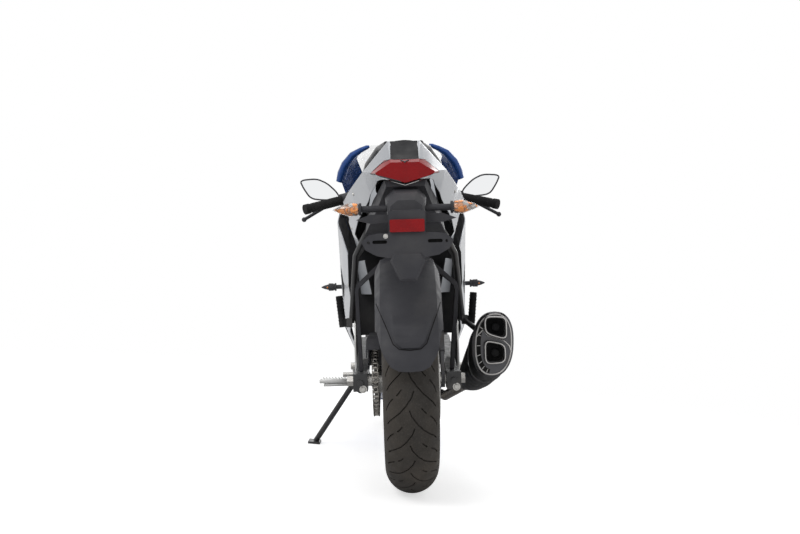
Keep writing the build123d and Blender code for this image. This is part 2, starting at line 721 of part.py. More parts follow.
with BuildPart() as header_pipe:
    bar(PIPE, PIPE_R)
    add(muffler.part, mode=Mode.SUBTRACT)
pieces["header_pipe"] = header_pipe

with BuildPart() as muffler_end_cap:
    with BuildSketch(across(MUFFLER[-1][0])):
        with BuildLine():
            Polyline(*muffler_outline(*[v + d for v, d in zip(MUFFLER[-1][1:], (0, 0, 3, 3))]), close=True)
        make_face()
    extrude(amount=END_CAP_T)
    with BuildSketch(across(MUFFLER[-1][0] - END_CAP_T)):
        outlet_sketch(0)
    extrude(amount=14)
    with BuildSketch(across(MUFFLER[-1][0])):
        outlet_sketch(OUTLET_WALL)
    extrude(amount=2 * END_CAP_T, mode=Mode.SUBTRACT)
pieces["muffler_end_cap"] = muffler_end_cap

# ---- fuel tank and seats -------------------------------------------------------------------
# y, half width at the bottom, bottom z, widest half width, its z, half width at the shoulder, its z, top z
TANK_ROWS = (
    (484, 60, 760, 92, 786, 50, 822, 832),
    (600, 92, 754, 142, 836, 78, 918, 940),
    (730, 112, 752, 156, 858, 88, 962, 988),
    (850, 92, 760, 124, 868, 74, 956, 984),
    (962, 50, 804, 66, 862, 40, 912, 928),
)
with BuildPart() as fuel_tank:
    for y, wb, zb, wm, zm, ws, zs, zt in TANK_ROWS:
        with BuildSketch(across(y)):
            with BuildLine():
                ThreePointArc((wb, zb), (wm, zm), (ws, zs))
                ThreePointArc((ws, zs), (0, zt), (-ws, zs))
                ThreePointArc((-ws, zs), (-wm, zm), (-wb, zb))
                Line((-wb, zb), (wb, zb))
            make_face()
    loft()
    # tunnel over the frame's spine
    slope = (SPINE_HEAD.Z - SPINE_END.Z) / (SPINE_HEAD.Y - SPINE_END.Y)
    roof = (SPINE_R + SEAT_GAP) * sqrt(1 + slope**2)
    with BuildSketch(along(-SPINE_R - 10)):
        with BuildLine():
            ends = [(y, SPINE_END.Z + slope * (y - SPINE_END.Y) + roof) for y in (400, 1000)]
            Polyline((400, 700), *ends, (1000, 700), close=True)
        make_face()
    extrude(amount=2 * (SPINE_R + 10), mode=Mode.SUBTRACT)
pieces["fuel_tank"] = fuel_tank

# y, half width at the top, top z, half width at the base, base z, crown
PILLION_ROWS = (
    (-216.4, 28, 914, 32, 867, 3),
    (-100, 40, 912, 47, 850, 4),
    (40, 52, 900, 64, 830, 5),
    (149.4, 62, 880, 80, 815, 5),
)
RIDER_ROWS = (
    (150, 68, 850, 78, 784, 4),
    (230, 78, 800, 92, 752.5, 5),
    (340, 80, 790, 102, 746, 5),
    (420, 62, 798, 90, 742, 5),
    (483.4, 44, 812, 62, 756, 5),
)
for name, rows in (("pillion_seat", PILLION_ROWS), ("rider_seat", RIDER_ROWS)):
    with BuildPart() as seat_pad:
        for y, wt, zt, wb, zb, crown in rows:
            with BuildSketch(across(y)):
                with BuildLine():
                    Line((-wb, zb), (wb, zb))
                    ThreePointArc((wb, zb), (wb - 1, (zb + zt) / 2), (wt, zt))
                    ThreePointArc((wt, zt), (0, zt + crown), (-wt, zt))
                    ThreePointArc((-wt, zt), (1 - wb, (zb + zt) / 2), (-wb, zb))
                make_face()
        loft()
    pieces[name] = seat_pad

# ---- tail ----------------------------------------------------------------------------------
# y, half width and z at the top edge, at the widest place, at the lower edge
TAIL_ROWS = (
    (-330, 34, 846, 72, 822, 44, 790),
    (-225, 40, 912, 104, 838, 84, 776),
    (0, 66, 902, 148, 814, 124, 720),
    (150, 90, 872, 173, 796, 138, 690),
    (240, 106, 800, 160, 762, 132, 678),
    (330, 116, 780, 166, 750, 140, 660),
    (470, 108, 766, 160, 736, 140, 636),
)
# plan of the strip between the tail's side panels: y, half width
STRIP = ((-400, 34), (-225, 34), (0, 60), (150, 84), (240, 100), (340, 112), (480, 106))
LAMP_OUTLINE = ((0, 855), (49, 855), (83, 825), (60, 814), (0, 797))
LAMP_FRONT_Y = -282.0


def lamp_outline():
    """The tail lamp seen from behind, with its points top and bottom."""
    return [*LAMP_OUTLINE, *[(-x, z) for x, z in reversed(LAMP_OUTLINE[1:-1])]]


def strip_outline(shrink):
    """Plan of the centre strip, narrowed by shrink each side."""
    right = [(w - shrink, y) for y, w in STRIP]
    return right + [(-x, y) for x, y in reversed(right)]


# outer and inner forms of the tail's shell, and the spaces cut from it
tail_forms = []
for skin in (0, SKIN):
    with BuildPart() as form:
        for k, (y, wt, zt, wm, zm, wl, zl) in enumerate(TAIL_ROWS):
            reach = (skin, *[0] * (len(TAIL_ROWS) - 2), skin)[k]
            with BuildSketch(across(y + reach)):
                with BuildLine():
                    top = (wt - 0.6 * skin, zt - skin)
                    middle = (wm - skin, zm)
                    low = (wl - skin, zl - 3 * skin)
                    Polyline(*mirrored([top, middle, low]), close=True)
                make_face()
        loft(ruled=True)
    tail_forms.append(form)
tail_outer, tail_inner = tail_forms

with BuildPart() as lamp_space:
    with BuildSketch(across(LAMP_FRONT_Y)):
        with BuildLine():
            Polyline(*lamp_outline(), close=True)
        make_face()
        offset(amount=GAP)
    extrude(amount=150)

with BuildPart() as strip_space:
    with BuildSketch(Plane.XY.offset(740)):
        with BuildLine():
            Polyline(*strip_outline(0), close=True)
        make_face()
    extrude(amount=200)

with BuildPart() as tail_panels:
    add(tail_outer.part)
    add(tail_inner.part, mode=Mode.SUBTRACT)
    add(strip_space.part, mode=Mode.SUBTRACT)
    add(lamp_space.part, mode=Mode.SUBTRACT)
    # lower edge, above the under-tail tray
    with BuildSketch(along(-200)):
        with BuildLine():
            Polyline(
                (-360, 620), (-360, 806), (-300, 806), (-180, 768), (0, 732),
                (150, 704), (330, 668), (480, 656), (480, 620),
                close=True,
            )
        make_face()
    extrude(amount=400, mode=Mode.SUBTRACT)
pieces["tail_panels"] = tail_panels

with BuildPart() as tail_lamp:
    with BuildSketch(across(LAMP_FRONT_Y)):
        with BuildLine():
            Polyline(*lamp_outline(), close=True)
        make_face()
    extrude(amount=60)
    add(tail_outer.part, mode=Mode.INTERSECT)
pieces["tail_lamp"] = tail_lamp

with BuildPart() as tail_cover:
    with BuildSketch(Plane.XY.offset(790)):
        with BuildLine():
            Polyline(*strip_outline(GAP), close=True)
        make_face()
    extrude(amount=200)
    add(tail_outer.part, mode=Mode.INTERSECT)
    add(tail_inner.part, mode=Mode.SUBTRACT)
    add(lamp_space.part, mode=Mode.SUBTRACT)
    with Locations((0, 283, 860)):
        Box(400, 1000, 400, mode=Mode.SUBTRACT)
    with Locations((0, -300, 780)):
        Box(400, 200, 120, mode=Mode.SUBTRACT)
pieces["tail_cover"] = tail_cover

RAIL_R = 6.5
with BuildPart() as grab_rails:
    bar([Vector(44, -190, 911), Vector(66, -110, 910), Vector(98, 20, 886), Vector(112, 96, 854)], RAIL_R)
    mirror(about=Plane.YZ)
    add(tail_outer.part, mode=Mode.SUBTRACT)
pieces["grab_rails"] = grab_rails

# height: plan outline of the right-hand cover under the rider's seat
SIDE_COVER = (
    (530, ((100, 215), (134, 330), (132, 512), (128, 512), (130, 330), (96, 215))),
    (630, ((118, 200), (146, 330), (138, 516), (134, 516), (142, 330), (114, 200))),
)
with BuildPart() as side_covers:
    for z, outline in SIDE_COVER:
        with BuildSketch(Plane.XY.offset(z)):
            with BuildLine():
                Polyline(*outline, close=True)
            make_face()
    loft(ruled=True)
    mirror(about=Plane.YZ)
    add(main_frame.part, mode=Mode.SUBTRACT)
pieces["side_covers"] = side_covers

# ---- under-tail, plate carrier and rear lamps ------------------------------------------------
# y, half width and z at the top, half width and z at the bottom
UNDER_TAIL = (
    (-316, 50, 806, 46, 790),
    (-190, 80, 770, 74, 740),
    (-60, 98, 744, 106, 692),
    (24, 104, 730, 110, 682),
)
# plate housing: y, then half width and z at the top, the shoulder and the bottom
PLATE_HOUSING = (
    (-300, 30, 786, 50, 764, 46, 722),
    (-352, 24, 772, 45, 752, 42, 724),
    (-372, 20, 752, 38, 738, 38, 724),
)
# seen from behind: the carrier's wing, its tip and the leaf under an indicator
WING = ((66, 674), (90, 670), (107, 655), (97, 636), (72, 622), (40, 616))
TIP = ((31, 629), (42, 610), (19, 563))
LEAF = ((30, 723), (86, 724), (120, 712), (88, 703), (30, 705))
CARRIER_Y = PLATE_HOLE[1] + PLATE_T
with BuildPart() as rear_fender:
    for y, wt, zt, wb, zb in UNDER_TAIL:
        with BuildSketch(across(y)):
            with BuildLine():
                Polyline(*mirrored([(wt, zt), (wb, zb)]), close=True)
            make_face()
    loft(ruled=True)
    add(lamp_space.part, mode=Mode.SUBTRACT)
    with BuildSketch(along(-60)):
        with BuildLine():
            Polyline((0, 728), (140, 704), (140, 696), (0, 706), close=True)
        make_face()
    extrude(amount=120)
    for side in (-1, 1):
        rod((side * 36, -120, 745), (side * 36, -120, 839), 8)
    add(main_frame.part, mode=Mode.SUBTRACT)
    # arm that carries the plate, sloping down and back
    with BuildSketch(along(-34)):
        with BuildLine():
            ahead = ((-240, 748), (-372, 730))
            under = ((-392, 648), (-330, 692), (-240, 725))
            Polyline(*ahead, (CARRIER_Y, 712), (CARRIER_Y, 650), *under, close=True)
        make_face()
    extrude(amount=68)
    for y, *row in PLATE_HOUSING:
        with BuildSketch(across(y)):
            with BuildLine():
                Polyline(*mirrored([tuple(row[k : k + 2]) for k in (0, 2, 4)]), close=True)
            make_face()
    loft(ruled=True)
    # frame of the reflector
    with BuildSketch(across(CARRIER_Y + 22)):
        with Locations((0, REFLECTOR_Z + 6)):
            RectangleRounded(REFLECTOR_W + 6, 58, 4)
    extrude(amount=22 + PLATE_T)
    for side in (-1, 1):
        with BuildSketch(across(-308)):
            with BuildLine():
                Polyline(*[(side * x, z) for x, z in LEAF], close=True)
            make_face()
        extrude(amount=9)
    # plate carrier's wing with its slots and holes
    with BuildSketch(across(CARRIER_Y)):
        with BuildLine():
            Polyline(*mirrored(WING), close=True)
        make_face()
        with Locations((-64, 654), (64, 654)):
            SlotOverall(34, 8, mode=Mode.SUBTRACT)
        with Locations(*[(side * PLATE_HOLE[0], PLATE_HOLE[2]) for side in (-1, 1)]):
            Circle(PLATE_HOLE_R, mode=Mode.SUBTRACT)
    extrude(amount=PLATE_T)
    # six-sided tip, bevelled all round
    for y in (CARRIER_Y, CARRIER_Y - PLATE_T):
        with BuildSketch(across(y)):
            with BuildLine():
                Polyline(*mirrored(TIP), close=True)
            make_face()
        if y == CARRIER_Y:
            extrude(amount=PLATE_T)
        else:
            extrude(amount=6, taper=40)
pieces["rear_fender"] = rear_fender

with BuildPart() as rear_reflector:
    with BuildSketch(across(CARRIER_Y - PLATE_T)):
        with Locations((0, REFLECTOR_Z)):
            RectangleRounded(REFLECTOR_W, 29, 3)
    extrude(amount=7)
pieces["rear_reflector"] = rear_reflector

# indicators: stalk's root x, housing's inner end, tip, y, z
INDICATORS = ((34, 108, 176, -310, 738), (226, 256, 312, 1120, 556))
with BuildPart() as indicator_bodies:
    for root, x0, x1, y, z in INDICATORS:
        rod((root, y, z), (x0, y, z), 8)
        rod((x0 - 1, y, z), (x0 + 5, y, z), 15)
    mirror(about=Plane.YZ)
    add(rear_fender.part, mode=Mode.SUBTRACT)
pieces["indicator_bodies"] = indicator_bodies

with BuildPart() as indicator_lenses:
    for root, x0, x1, y, z in INDICATORS:
        with BuildSketch(Plane(origin=(0, y, z), x_dir=(1, 0, 0), z_dir=(0, -1, 0))):
            with BuildLine():
                profile = ((x0 + 5, 0), (x0 + 5, 14), (x0 + 24, 15), (x1 - 16, 10.5), (x1 - 4, 5), (x1, 0))
                Polyline(*profile, close=True)
            make_face()
        revolve(axis=Axis((0, y, z), (1, 0, 0)))
    mirror(about=Plane.YZ)
pieces["indicator_lenses"] = indicator_lenses

# ---- fairing -------------------------------------------------------------------------------
# y, then half width and z from the top edge down the side to the belly
FAIRING_ROWS = (
    (620, 60, 800, 92, 796, 132, 770, 150, 745, 160, 715, 172, 672, 182, 400, 100, 178),
    (850, 80, 905, 112, 898, 168, 862, 190, 826, 200, 792, 212, 724, 216, 420, 110, 166),
    (1040, 110, 1104, 148, 1096, 210, 1034, 229, 975, 220, 918, 240, 800, 226, 420, 104, 172),
    (1165, 104, 1066, 140, 1056, 200, 1010, 226, 960, 214, 922, 236, 850, 222, 560, 80, 300),
    (1240, 92, 1020, 124, 1010, 180, 968, 210, 925, 206, 890, 216, 830, 205, 640, 60, 428),
    (1330, 74, 938, 96, 930, 136, 900, 160, 868, 162, 846, 152, 800, 120, 716, 50, 646),
    (1400, 60, 864, 72, 858, 88, 838, 95, 815, 92, 795, 82, 775, 60, 750, 40, 730),
)
fairing_forms = []
for skin in (0, SKIN):
    with BuildPart() as form:
        for k, (y, *row) in enumerate(FAIRING_ROWS):
            reach = (-skin, *[0] * (len(FAIRING_ROWS) - 2), -skin)[k]
            places = [tuple(row[j : j + 2]) for j in range(0, len(row), 2)]
            # the side moves in by the skin, the top down and the belly up
            side = [(w - skin, z) for w, z in places[2:-1]]
            top = [(w - 0.5 * skin, z - skin) for w, z in places[:2]]
            belly = (places[-1][0] - 0.5 * skin, places[-1][1] + skin)
            with BuildSketch(across(y + reach)):
                with BuildLine():
                    Polyline(*mirrored([*top, *side, belly]), close=True)
                make_face()
        loft(ruled=True)
    fairing_forms.append(form)

with BuildPart() as fairing_shell:
    add(fairing_forms[0].part)
    add(fairing_forms[1].part, mode=Mode.SUBTRACT)

# front view: the screen's opening and the headlamp's
SCREEN = ((96, 1120), (112, 1092), (148, 1078), (164, 1046), (150, 1012), (124, 940), (66, 896))
HEADLAMP = ((66, 860), (140, 874), (166, 852), (120, 800), (40, 768))
# side view: the cowl's region, the side panels' and the belly's
COWL_SIDE = ((1078, 1110), (1168, 925), (1168, 868), (1290, 735), (1420, 690), (1420, 1110))
PANEL_SIDE = (
    (1167.4, 867.4),
    (1010, 780),
    (860, 728),
    (742, 672),
    (672, 590),
    (640, 470),
    (660, 380),
    (632, 245),
    (1000, 245),
    (1066, 400),
    (1150, 550),
    (1240, 680),
    (1289.4, 734.4),
)
# side view: openings in the side panels that let the radiator's air out
VENTS = (
    ((818, 560), (1010, 640), (1046, 604), (900, 520), (846, 470)),
    ((776, 420), (842, 444), (900, 494), (1012, 560), (1000, 520), (880, 420), (790, 360)),
)
BELLY_SIDE = ((636, 245 - GAP), (1000, 245 - GAP), (976, 150), (610, 150))

with BuildPart() as screen_prism:
    with BuildSketch(across(1420)):
        with BuildLine():
            Polyline(*mirrored(SCREEN), close=True)
        make_face()
    extrude(amount=400)

with BuildPart() as lamp_prism:
    with BuildSketch(across(1420)):
        with BuildLine():
            Polyline(*mirrored(HEADLAMP), close=True)
        make_face()
    extrude(amount=170)

for name, inside in (("upper_cowl", None), ("windscreen", screen_prism), ("headlamp", lamp_prism)):
    with BuildPart() as shell_part:
        with BuildSketch(along(-300)):
            with BuildLine():
                Polyline(*COWL_SIDE, close=True)
            make_face()
        extrude(amount=600)
        add(fairing_shell.part, mode=Mode.INTERSECT)
        if inside:
            add(inside.part, mode=Mode.INTERSECT)
        else:
            add(screen_prism.part, mode=Mode.SUBTRACT)
            add(lamp_prism.part, mode=Mode.SUBTRACT)
    pieces[name] = shell_part

with BuildPart() as side_fairings:
    with BuildSketch(along(-300)):
        with BuildLine():
            Polyline(*PANEL_SIDE, close=True)
        make_face()
    extrude(amount=600)
    add(fairing_shell.part, mode=Mode.INTERSECT)
    with Locations((0, 900, 600)):
        Box(150, 1200, 1200, mode=Mode.SUBTRACT)
    with BuildSketch(along(-300)):
        for opening in VENTS:
            with BuildLine():
                Polyline(*opening, close=True)
            make_face()
    extrude(amount=600, mode=Mode.SUBTRACT)
pieces["side_fairings"] = side_fairings

with BuildPart() as belly_pan:
    with BuildSketch(along(-300)):
        with BuildLine():
            Polyline(*BELLY_SIDE, close=True)
        make_face()
    extrude(amount=600)
    add(fairing_shell.part, mode=Mode.INTERSECT)
pieces["belly_pan"] = belly_pan

with BuildPart() as headlamp_housing:
    with BuildSketch(across(1366)):
        with BuildLine():
            Polyline(*mirrored([(56, 852), (70, 832), (56, 800), (30, 776)]), close=True)
        make_face()
    with BuildSketch(across(1300)):
        with BuildLine():
            Polyline(*mirrored([(76, 872), (128, 862), (96, 800), (44, 766)]), close=True)
        make_face()
    loft(ruled=True)
pieces["headlamp_housing"] = headlamp_housing

STAY_YZ = (1200.0, 834.0)
with BuildPart() as fairing_stay:
    bar([steer_point(0, 20, 560), steer_point(0, 132, 540), Vector(0, *STAY_YZ)], 11)
    bar([steer_point(0, 132, 540), steer_point(0, 176, 640), Vector(0, 1172, 975)], 9)
    rod((-260, *STAY_YZ), (260, *STAY_YZ), 9)
    rod((0, *STAY_YZ), (0, 1300, 820), 9)
    with Locations(Location((0, 1172, 975), (52, 0, 0))):
        Box(176, 96, 30, mode=Mode.SUBTRACT)
    with BuildSketch(across(1300)):
        Rectangle(2000, 2000)
    extrude(amount=-200, mode=Mode.SUBTRACT)
    add(main_frame.part, mode=Mode.SUBTRACT)
    add(fairing_forms[1].part, mode=Mode.INTERSECT)
pieces["fairing_stay"] = fairing_stay

with BuildPart() as instrument_panel:
    with Locations(Location((0, 1172, 975), (52, 0, 0))):
        Box(176, 96, 30)
        with Locations((-34, 0, 15)):
            Cylinder(34, 6, align=(Align.CENTER, Align.CENTER, Align.MIN))
        with Locations((42, 0, 15)):
            Box(64, 56, 5, align=(Align.CENTER, Align.CENTER, Align.MIN))
pieces["instrument_panel"] = instrument_panel

# mirror's outline from behind: x, z
MIRROR = (
    (240, 908), (248, 897), (334, 902), (356, 913), (379, 948),
    (392, 977), (328, 983), (288, 964), (254, 932),
)
MIRROR_Y = 1226.0
with BuildPart() as mirrors:
    with BuildSketch(across(MIRROR_Y)):
        with BuildLine():
            Polyline(*MIRROR, close=True)
        make_face()
        fillet(vertices(), 6)
    extrude(amount=-34)
    with BuildSketch(across(MIRROR_Y)):
        with BuildLine():
            Polyline(*MIRROR, close=True)
        make_face()
        offset(amount=-4)
    extrude(amount=-4, mode=Mode.SUBTRACT)
    rod((262, MIRROR_Y + 20, 914), (206, MIRROR_Y + 16, 884), 9)
    add(fairing_forms[0].part, mode=Mode.SUBTRACT)
    mirror(about=Plane.YZ)
pieces["mirrors"] = mirrors

with BuildPart() as mirror_glass:
    with BuildSketch(across(MIRROR_Y + 1)):
        with BuildLine():
            Polyline(*MIRROR, close=True)
        make_face()
        offset(amount=-4.6)
    extrude(amount=-2.6)
    mirror(about=Plane.YZ)
pieces["mirror_glass"] = mirror_glass

# ---- steering ------------------------------------------------------------------------------
with BuildPart() as fork_yokes:
    for s in (LOWER_YOKE_S, UPPER_YOKE_S):
        with BuildSketch(Plane(origin=steer_point(0, 0, s - YOKE_T / 2), x_dir=(1, 0, 0), z_dir=UP)):
            for side in (-1, 1):
                with Locations((side * FORK_X, FORK_OFFSET)):
                    Circle(STANCHION_R + 10)
            Circle(30)
            Rectangle(2 * FORK_X, 40, align=(Align.CENTER, Align.MIN))
            for side in (-1, 1):
                with Locations((side * FORK_X, FORK_OFFSET)):
                    Circle(STANCHION_R + 0.1, mode=Mode.SUBTRACT)
        extrude(amount=YOKE_T)
    rod(steer_point(0, 0, LOWER_YOKE_S - 6), steer_point(0, 0, UPPER_YOKE_S + 20), STEM_R)
    rod(steer_point(0, 0, UPPER_YOKE_S + YOKE_T / 2), steer_point(0, 0, UPPER_YOKE_S + 22), 20)
pieces["fork_yokes"] = fork_yokes

with BuildPart() as fork_stanchions:
    for side in (-1, 1):
        foot = steer_point(side * FORK_X, FORK_OFFSET, SLIDER_LEN - 20)
        rod(foot, steer_point(side * FORK_X, FORK_OFFSET, STANCHION_TOP_S), STANCHION_R)
pieces["fork_stanchions"] = fork_stanchions

with BuildPart() as fork_sliders:
    for side in (-1, 1):
        top = steer_point(side * FORK_X, FORK_OFFSET, SLIDER_LEN - 20)
        rod(steer_point(side * FORK_X, FORK_OFFSET, -24), top, SLIDER_R)
        lug = FRONT_AXLE + RIGHT * side * (FORK_X - 30) + UP * (FRONT_R - 68)
        with Locations(Plane(origin=lug, x_dir=(1, 0, 0), z_dir=UP)):
            Box(8, 40, 36)
    rod((-200, FRONT_AXLE_Y, FRONT_R), (200, FRONT_AXLE_Y, FRONT_R), AXLE_R + BEARING_GAP, mode=Mode.SUBTRACT)
pieces["fork_sliders"] = fork_sliders

with BuildPart() as front_axle:
    axle_end = FORK_X + SLIDER_R + 4
    rod((-axle_end, FRONT_AXLE_Y, FRONT_R), (axle_end, FRONT_AXLE_Y, FRONT_R), AXLE_R)
    for side in (-1, 1):
        rod((side * (FORK_X + SLIDER_R), FRONT_AXLE_Y, FRONT_R), (side * axle_end, FRONT_AXLE_Y, FRONT_R), 14)
        hub = WHEELS["front"][4] + 0.5
        rod((side * hub, FRONT_AXLE_Y, FRONT_R), (side * (FORK_X - SLIDER_R), FRONT_AXLE_Y, FRONT_R), 14)
pieces["front_axle"] = front_axle

# outline of the fender's cross-section: half width, height over the tyre
FENDER = ((24, 22), (48, 12), (60, -16))
with BuildPart() as front_fender:
    with BuildSketch(round_wheel(FRONT_AXLE, -38)):
        with BuildLine():
            right = [(x, FRONT_R + rise) for x, rise in FENDER]
            outer = [(-x, r) for x, r in reversed(right)] + right
            inner = [(x * 0.94, r - 3.5) for x, r in outer]
            Polyline(*outer, *reversed(inner), close=True)
        make_face()
    revolve(axis=Axis(FRONT_AXLE, (1, 0, 0)), revolution_arc=100)
    for side in (-1, 1):
        stay = FRONT_AXLE + RIGHT * side * 60 + UP * (FRONT_R - 34)
        with Locations(Plane(origin=stay, x_dir=(1, 0, 0), z_dir=UP)):
            Box(6, 60, 70)
pieces["front_fender"] = front_fender

with BuildPart() as front_caliper:
    with Locations(Plane(origin=FRONT_AXLE + RIGHT * 66 + UP * 52 - FWD * 104, x_dir=(1, 0, 0), z_dir=UP)):
        Box(44, 54, 92)
    with Locations(Plane(origin=FRONT_AXLE + RIGHT * 84 + UP * 52 - FWD * 52, x_dir=(1, 0, 0), z_dir=UP)):
        Box(9, 60, 30)
    with Locations((FRONT_DISC_X, FRONT_AXLE_Y, FRONT_R)):
        Cylinder(FRONT_DISC_R + 4, DISC_T + 11, rotation=(0, 90, 0), mode=Mode.SUBTRACT)
    leg = (steer_point(FORK_X, FORK_OFFSET, -20), steer_point(FORK_X, FORK_OFFSET, 300))
    rod(*leg, SLIDER_R + 0.2, mode=Mode.SUBTRACT)
pieces["front_caliper"] = front_caliper

BAR_ROOT = steer_point(FORK_X, FORK_OFFSET, BAR_CLAMP_S)
BAR_END = Vector(345, 899, 838)
bar_dir = (BAR_END - BAR_ROOT).normalized()
GRIP_START = BAR_ROOT + bar_dir * 152
with BuildPart() as handlebars:
    rod(BAR_ROOT, BAR_END, 11)
    with Locations(Plane(origin=BAR_ROOT, z_dir=UP)):
        Cylinder(STANCHION_R + 8, 20)
    ends = [steer_point(FORK_X, FORK_OFFSET, s) for s in (UPPER_YOKE_S - 48, STANCHION_TOP_S + 20)]
    rod(*ends, STANCHION_R + 0.1, mode=Mode.SUBTRACT)
    mirror(about=Plane.YZ)
pieces["handlebars"] = handlebars

with BuildPart() as grips:
    rod(GRIP_START, BAR_END - bar_dir * 14, 16.5)
    rod(BAR_END - bar_dir * 14, BAR_END + bar_dir * 4, 18.5)
    rod(BAR_ROOT, BAR_END + bar_dir * 0.5, 11.1, mode=Mode.SUBTRACT)
    mirror(about=Plane.YZ)
pieces["grips"] = grips

lever_fwd = UP.cross(bar_dir).normalized()
with BuildPart() as bar_controls:
    # switch block round the bar, then the lever's clamp, pivot and blade ahead of it
    rod(GRIP_START - bar_dir * 44, GRIP_START - bar_dir * 4, 23)
    clamp = GRIP_START - bar_dir * 62
    rod(clamp - bar_dir * 10, clamp + bar_dir * 10, 18)
    pivot = clamp + lever_fwd * 42
    bar([clamp + lever_fwd * 14, pivot], 10)
    tip = BAR_END + lever_fwd * 52 - bar_dir * 18 - UP * 60
    bar([pivot, pivot + bar_dir * 40 + lever_fwd * 12 - UP * 16, tip], 6)
    with Locations(tip):
        Sphere(9)
    rod(BAR_ROOT, BAR_END, 11.1, mode=Mode.SUBTRACT)
    mirror(about=Plane.YZ)
pieces["bar_controls"] = bar_controls

# ---- side stand ----------------------------------------------------------------------------
# the tyre's round crown reaches this far below the upright floor
floor_drop = -max(crowns.values()) * (1 - cos(lean))
to_floor = floor_drop - FLOOR_NORMAL.dot(STAND_PIVOT)
in_plane = sqrt(STAND_LEN**2 - STAND_AHEAD**2 - to_floor**2)
deployed = Vector(
    to_floor * sin(lean) - in_plane * cos(lean),
    STAND_AHEAD,
    to_floor * cos(lean) + in_plane * sin(lean),
)
folded = STAND_FOLDED.normalized() * STAND_LEN
stand_axis = deployed.cross(folded).normalized()
stand_turn = deployed.get_angle(folded)
stand_foot = STAND_PIVOT + deployed
leg_dir = deployed.normalized()

with BuildPart() as side_stand:
    leg_end = stand_foot - leg_dir * 7
    rod(STAND_PIVOT + leg_dir * 8, leg_end, 9)
    rod(STAND_PIVOT - stand_axis * 9, STAND_PIVOT + stand_axis * 9, 17)
    foot_plane = Plane(origin=stand_foot, x_dir=(0, 1, 0), z_dir=FLOOR_NORMAL)
    with Locations(foot_plane):
        Box(64, 40, 7, align=(Align.CENTER, Align.CENTER, Align.MIN))
    pin = (STAND_PIVOT - stand_axis * 40, STAND_PIVOT + stand_axis * 40)
    rod(*pin, STAND_PIN_R + BEARING_GAP, mode=Mode.SUBTRACT)
pieces["side_stand"] = side_stand

with BuildPart() as stand_bracket:
    rod(STAND_PIVOT - stand_axis * 16, STAND_PIVOT + stand_axis * 13, STAND_PIN_R)
    rod(STAND_PIVOT + stand_axis * 10, STAND_PIVOT + stand_axis * 13, 14)
    rod(STAND_PIVOT - stand_axis * 36, STAND_PIVOT - stand_axis * 10, 16)
    add(main_frame.part, mode=Mode.SUBTRACT)
pieces["stand_bracket"] = stand_bracket

# ---- export --------------------------------------------------------------------------------
# leaned about the line where the wheels meet the floor, and lifted until the tyres just touch it
STANCE = Location((0, 0, -floor_drop), (0, 0, 0)) * Location((0, 0, 0), (0, -LEAN, 0))
boxes = [piece.part.moved(STANCE).bounding_box() for piece in pieces.values()]
centre_x = (min(b.min.X for b in boxes) + max(b.max.X for b in boxes)) / 2
centre_y = (min(b.min.Y for b in boxes) + max(b.max.Y for b in boxes)) / 2
PARKED = Location((-centre_x, -centre_y, 0)) * STANCE

for name, piece in pieces.items():
    piece.part.label = name
    export_step(piece.part.moved(PARKED), f"parts/{name}.step")


def placed(point):
    """A point on the upright machine, in metres in the finished part's frame."""
    p = (PARKED * Location(point)).position
    return [round(v / 1000, 6) for v in (p.X, p.Y, p.Z)]


def turned(direction):
    """A direction on the upright machine, in the finished part's frame."""
    d = (STANCE * Location(direction)).position - STANCE.position
    return [round(v, 6) for v in (d.X, d.Y, d.Z)]


print("side stand turns", round(stand_turn, 3), "degrees")
for label, point, direction in (
    ("rear_wheel", REAR_AXLE, RIGHT),
    ("front_wheel", FRONT_AXLE, RIGHT),
    ("steering", STEER_FOOT, UP),
    ("side_stand", STAND_PIVOT, stand_axis),
    ("stand_bobbin_left", Vector(LEFT_ARM_X - BLOCK_HALF, *bobbin), RIGHT * -1),
    ("stand_bobbin_right", Vector(RIGHT_ARM_X + BLOCK_HALF, *bobbin), RIGHT),
    ("plate_hole_right", Vector(*PLATE_HOLE), Vector(0, -1, 0)),
    ("plate_hole_left", mirror_point(Vector(*PLATE_HOLE)), Vector(0, -1, 0)),
):
    print(label, placed(point), turned(direction))
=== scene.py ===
"""Finishes, tyres, seats, lamps and small fittings of a faired sport motorcycle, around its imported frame."""

import json
from math import asin, atan2, cos, pi, radians, sin

import bmesh
import bpy
from bpy.props import FloatProperty, FloatVectorProperty, IntProperty, PointerProperty
from mathutils import Matrix, Vector
from mathutils.bvhtree import BVHTree

